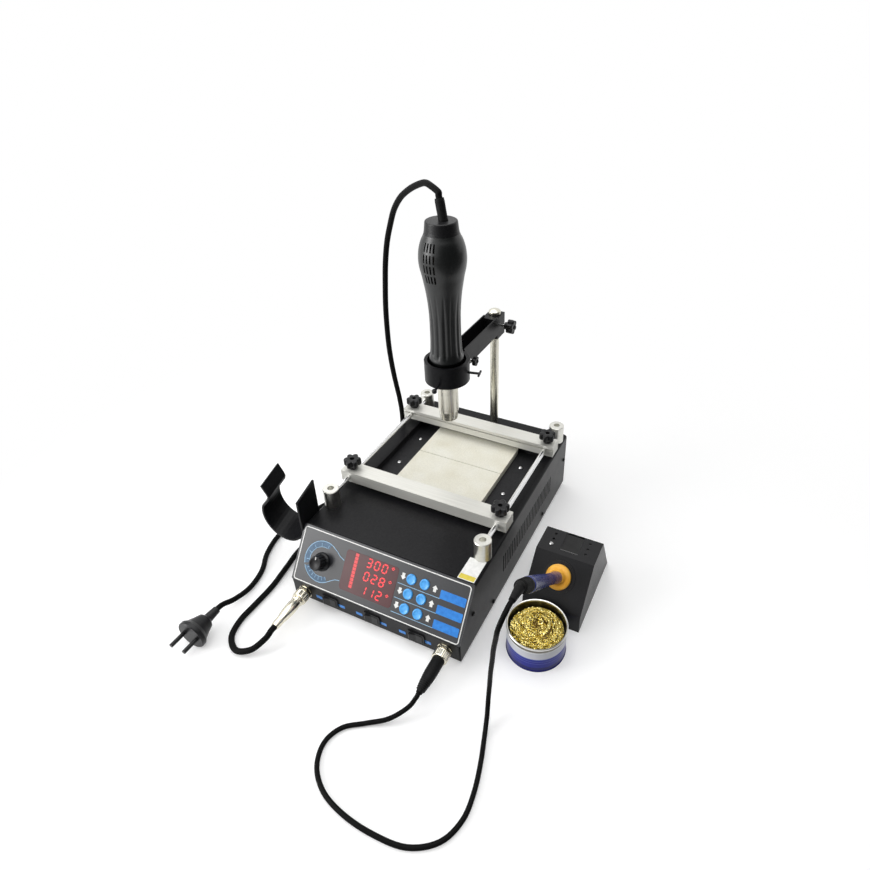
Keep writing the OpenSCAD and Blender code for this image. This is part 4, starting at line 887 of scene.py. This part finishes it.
# Small bare sticker on the cover
place = Matrix.Translation((100.1, -112.9, HOUSING_H))
outline = [(-9.9, 16.2), (-10, -16.3), (10, -15.8), (9.9, 16.6)]
band = [(-9.2, -8.6), (-9.2, -15.3), (9.2, -14.9), (9.2, -8.4)]
printed("sticker_white", [flat_part(outline, place, 0.12)], white_ink)
printed("sticker_yellow", [flat_part(band, place, 0.16)], yellow_ink)

# Gun handle: a crowned shell with pointed flutes and a grille cut through it
# Its outline, as the share of its length from the top and the radius there
HANDLE = [(0, 18.9), (0.02, 20.2), (0.045, 22.1), (0.075, 23.7), (0.11, 25), (0.145, 25.7), (0.18, 26),
          (0.215, 25.7), (0.25, 24.9), (0.3, 23.2), (0.36, 21.6), (0.42, 20.1), (0.48, 19.0), (0.54, 18.2),
          (0.62, 17.6), (0.8, 17.7), (0.89, 18.3), (0.935, 19.2), (0.96, 20), (0.98, 19.3), (0.993, 17.6),
          (1, 16.6)]
HANDLE_FOOT = [(16.5, 258.6), (16.5, 246), (16.1, 239.4), (15.8, 239)]
HANDLE_BORE = [(12.4, 239), (12.4, 267)]
HANDLE_SEGMENTS, HANDLE_RINGS, WALL, BORE_R = 168, 120, 2.4, 12.8
FLUTES, FLUTE_TOP, FLUTE_LOW, FLUTE_DEPTH, FLUTE_HALF_W = 14, 350, 268, 1.15, 1.8
GRILLE_ROWS, GRILLE_DROP, GRILLE_PITCH, GRILLE_R = 4, 10, 11.4, 21
GRILLE_COLUMNS, GRILLE_FROM, GRILLE_TURN = 4, -111, 9.3


def spline(points, t):
    """A smooth value through (place, value) pairs."""
    i = next((i for i in range(len(points) - 2) if t <= points[i + 1][0]), len(points) - 2)
    (x0, y0), (x1, y1) = points[i:i + 2]
    xa, ya = points[max(i - 1, 0)]
    xb, yb = points[min(i + 2, len(points) - 1)]
    m0 = (y1 - ya) / max(x1 - xa, 1e-6)
    m1 = (yb - y0) / max(xb - x0, 1e-6)
    h = x1 - x0
    u = min(max((t - x0) / h, 0), 1)
    return ((2 * u ** 3 - 3 * u * u + 1) * y0 + (u ** 3 - 2 * u * u + u) * h * m0
            + (-2 * u ** 3 + 3 * u * u) * y1 + (u ** 3 - u * u) * h * m1)


def handle_point(t, wall=0.0):
    """The handle's radius less a wall, and the height, at a share of its length."""
    return spline(HANDLE, t) - wall, HANDLE_TOP - t * (HANDLE_TOP - HANDLE_LOW)


def flute(a, r, z):
    """The radius in the flutes, which fade into the crown at their tops and end soon at their feet."""
    if z < FLUTE_LOW or z > FLUTE_TOP or r < 17:
        return r
    spread = 360 / FLUTES
    off = radians(degrees(a) % spread - spread / 2)
    low_fade = min(1.0, (z - FLUTE_LOW) / 6)
    high_fade = min(1.0, (FLUTE_TOP - z) / 44)
    width = FLUTE_HALF_W * sqrt(high_fade) + 0.05
    return r - FLUTE_DEPTH * low_fade * high_fade ** 0.7 * exp(-((off * r / width) ** 2))


def make_grille_cutter():
    """Rounded bars through the wall, one for each slot of the grille."""
    outline = rounded_rect(9, 1.9, 0.6, 3)
    bar = [(x, y, z) for z in (-8, 8) for x, y in outline], skin(2, len(outline))
    bars = []
    for column in range(GRILLE_COLUMNS):
        x, y = around(1, GRILLE_FROM + column * GRILLE_TURN)
        for row in range(GRILLE_ROWS):
            z = HANDLE_TOP - GRILLE_DROP - GRILLE_PITCH * row
            at = frame_at((GUN_X + GRILLE_R * x, GUN_Y + GRILLE_R * y, z), (x, y, 0), (0, 0, 1))
            bars.append(placed(bar, at))
    return joined("grille_cutter", bars)


def make_gun_handle():
    outer = [handle_point(i / HANDLE_RINGS) for i in range(HANDLE_RINGS + 1)]
    inner = [handle_point(0.94 - 0.047 * k, WALL) for k in range(20)]
    inner = [(max(r, BORE_R), z) for r, z in inner] + [(16.7, HANDLE_TOP)]
    profile = outer + HANDLE_FOOT + HANDLE_BORE + inner
    verts, faces = lathe(profile, HANDLE_SEGMENTS, flute, capped=False)
    n, last = HANDLE_SEGMENTS, len(profile) - 1
    faces += [[last * n + k, last * n + (k + 1) % n, (k + 1) % n, k] for k in range(n)]
    verts = [(x + GUN_X, y + GUN_Y, z) for x, y, z in verts]
    shell = joined("gun_handle_moulding", [(verts, faces)])
    cutter = make_grille_cutter()
    cut = shell.modifiers.new("grille", "BOOLEAN")
    cut.operation, cut.object, cut.solver = "DIFFERENCE", cutter, "EXACT"
    bpy.context.view_layer.update()
    done = bpy.data.meshes.new_from_object(shell.evaluated_get(bpy.context.evaluated_depsgraph_get()))
    shell.modifiers.clear()
    shell.data = done
    bpy.data.objects.remove(cutter)
    fit(shell, gun_plastic, "gun", "gun_shell", 42)


make_gun_handle()

# Brass turnings: crimped ribbons wound into a nest, on a dome that is pressed in at its middle
RIBBONS, NEST_R, NEST_LOW, NEST_RISE, NEST_TOP = 150, TIN_R - 4.8, 24, 16, TIN_H + 2.2
PIT_DEPTH, PIT_R = 5.0, 6.0


def ribbon(rng):
    """One ribbon of the nest, its size and course drawn at random."""
    reach = NEST_R * sqrt(rng.uniform(0.02, 1.0))
    start = rng.uniform(0, 2 * pi)
    sweep = rng.uniform(1.4, 3.6) * rng.choice((1, 1, 1, -1))
    drift = rng.uniform(-5, 5)
    tilt = rng.uniform(-1.6, 1.6)
    crimp = rng.uniform(2.0, 3.2)
    wave = rng.uniform(0.5, 1.0)
    half_w = rng.uniform(0.3, 0.55)
    sink = rng.uniform(0, 3.4)
    twist = rng.uniform(0, pi)
    length = abs(sweep) * reach
    steps = max(24, int(length / 0.55))
    line = []
    for k in range(steps + 1):
        t = k / steps
        a = start + sweep * t
        phase = length * t / crimp * 2 * pi
        r = min(max(reach + drift * sin(2.2 * t * pi + start), 2.0), NEST_R)
        dome = NEST_LOW + NEST_RISE * sqrt(max(0.0, 1 - (r / (NEST_R + 1.2)) ** 2))
        pit = PIT_DEPTH * exp(-(r / PIT_R) ** 2)
        z = dome - sink - pit + tilt * sin(a * 2 + start) + wave * sin(phase)
        rr = r + 0.5 * wave * cos(phase)
        line.append(Vector((TIN_X + rr * cos(a), TIN_Y + rr * sin(a), min(z, NEST_TOP))))
    verts = []
    for k, p in enumerate(line):
        d = (line[min(k + 1, steps)] - line[max(k - 1, 0)]).normalized()
        side = d.cross(Vector((0, 0, 1))).normalized()
        lift = side.cross(d)
        roll = twist + 0.8 * sin(k * 0.21)
        u = cos(roll) * side + sin(roll) * lift
        v = -sin(roll) * side + cos(roll) * lift
        for su, sv in ((-1, -0.09), (1, -0.09), (1, 0.09), (-1, 0.09)):
            verts.append(tuple(p + u * half_w * su + v * sv))
    return verts, skin(steps + 1, 4, capped=False)


# The nest, over a solid core in darker brass: painted shade deep in the nest
rng = random.Random(7)
nest = joined("brass_turnings_nest", [ribbon(rng) for _ in range(RIBBONS)], smooth=False)
core = [(0.5, 1.9), (NEST_R - 0.4, 1.9), (NEST_R - 0.4, 19), (NEST_R - 4, 25), (NEST_R - 12, 29.5),
        (6, 30), (0.5, 27)]
heart = turned("brass_turnings_shade_core", Matrix.Translation((TIN_X, TIN_Y, 0)),
               (core, 40, lambda a, r, z: r * (1 + 0.03 * sin(9 * a + z))))
shade = make_plain("brass_shadow", (0.1, 0.06, 0.015), (0.3, 0.19, 0.05), 0.35, 0.55, 500, 0.9)
fit(nest, brass, "station", "brass_wool")
fit(heart, shade, "station", "brass_wool")


# Light: large soft lamps behind, beside and low in front on the left, and above on the right
def area_lamp(name, place, aim, width, height, watts):
    data = bpy.data.lights.new(name, "AREA")
    data.shape = "RECTANGLE"
    data.size, data.size_y = width, height
    data.energy = watts
    lamp = add_object(name, data)
    lamp.location = place
    lamp.rotation_mode = "QUATERNION"
    lamp.rotation_quaternion = (Vector(aim) - Vector(place)).to_track_quat("-Z", "Y")


area_lamp("key_lamp", (-0.7, 0.45, 1.9), (0, 0, 0.1), 1.5, 1.5, 13)
area_lamp("side_lamp", (-1.05, -0.8, 0.7), (0, 0, 0.25), 0.6, 1.2, 11)
area_lamp("panel_lamp", (-1.05, -1.45, 0.62), (0, -0.1, 0.1), 0.9, 0.8, 7)
area_lamp("top_lamp", (0.35, -0.3, 1.7), (0, 0, 0.05), 1.3, 1.3, 12)

# The dim room in front on the right, which the black surfaces and the metal show
ROOM_WAY, ROOM_DIM = (0.88, -0.47, 0.0), 0.06
# The backdrop's brightness as a light, and the bench's white, its glow in direct view and its reach
WORLD_FILL, BENCH_WHITE, BENCH_GLOW, FLOOR_REACH = 0.4, 0.8, 0.26, 4


class Backdrop(Nodes):
    """What the world and the floor share."""

    def __init__(self, tree):
        super().__init__(tree)
        path = self.node("ShaderNodeLightPath").outputs
        self.camera_ray, self.glass_ray = path["Is Camera Ray"], path["Is Transmission Ray"]
        # 1 for a ray that shows the background itself: to the camera, off metal or through glass
        first = self.calc("MAXIMUM", self.camera_ray, path["Is Glossy Ray"])
        self.seen = self.calc("MAXIMUM", first, self.glass_ray)

    def toward_room(self, place):
        """How far a place or a direction reaches toward the dim room."""
        n = self.node("ShaderNodeVectorMath", operation="DOT_PRODUCT")
        self.link(place, n.inputs[0])
        n.inputs[1].default_value = ROOM_WAY
        return n.outputs["Value"]


def make_world():
    """A white backdrop all round but for the dim room."""
    world = bpy.data.worlds.new("studio")
    bpy.context.scene.world = world
    world.use_nodes = True
    b = Backdrop(world.node_tree)
    background = b.tree.nodes["Background"].inputs
    b.feed(background["Color"], (1, 1, 1))
    toward = b.toward_room(b.node("ShaderNodeTexCoord").outputs["Generated"])
    plain = b.calc("MAXIMUM", b.camera_ray, b.glass_ray)
    pattern = b.calc("MAXIMUM", plain, b.fade(toward, 0.3, 0.8, 1.0, ROOM_DIM))
    level = b.calc("MULTIPLY_ADD", b.seen, 1 - WORLD_FILL, WORLD_FILL)
    b.feed(background["Strength"], b.times(pattern, level))


def make_floor():
    """A white bench that keeps the shadow, plain white far off, dim toward the room but to the camera."""
    r = FLOOR_REACH
    floor = new_object("floor", [(-r, -r, 0), (r, -r, 0), (r, r, 0), (-r, r, 0)], [[0, 1, 2, 3]], False)
    mat = bpy.data.materials.new("floor_white")
    mat.use_nodes = True
    b = Backdrop(mat.node_tree)
    where = b.node("ShaderNodeTexCoord").outputs["Object"]
    reach = b.node("ShaderNodeVectorMath", operation="LENGTH")
    b.link(where, reach.inputs[0])
    dim = b.calc("MAXIMUM", b.fade(b.toward_room(where), 0.25, 0.46, 1.0, ROOM_DIM), b.camera_ray)
    tone = b.times(dim, BENCH_WHITE)
    bsdf = b.tree.nodes["Principled BSDF"]
    b.feed(bsdf.inputs["Base Color"], b.fed("ShaderNodeCombineXYZ", tone, tone, tone))
    b.feed(bsdf.inputs["Roughness"], 0.9)
    b.feed(bsdf.inputs["Specular IOR Level"], 0.0)
    seen = b.times(b.seen, dim)
    glow = b.fed("ShaderNodeEmission", (1, 1, 1), b.times(seen, BENCH_GLOW))
    bench = b.fed("ShaderNodeAddShader", bsdf.outputs[0], glow)
    far_off = b.times(seen, b.fade(reach.outputs["Value"], 0.2, 0.7, 0.0, 1.0))
    blend = b.fed("ShaderNodeMixShader", far_off, bench, b.fed("ShaderNodeEmission"))
    b.link(blend, b.tree.nodes["Material Output"].inputs["Surface"])
    floor.data.materials.append(mat)


make_world()
make_floor()
bpy.context.scene.view_settings.view_transform = "Standard"
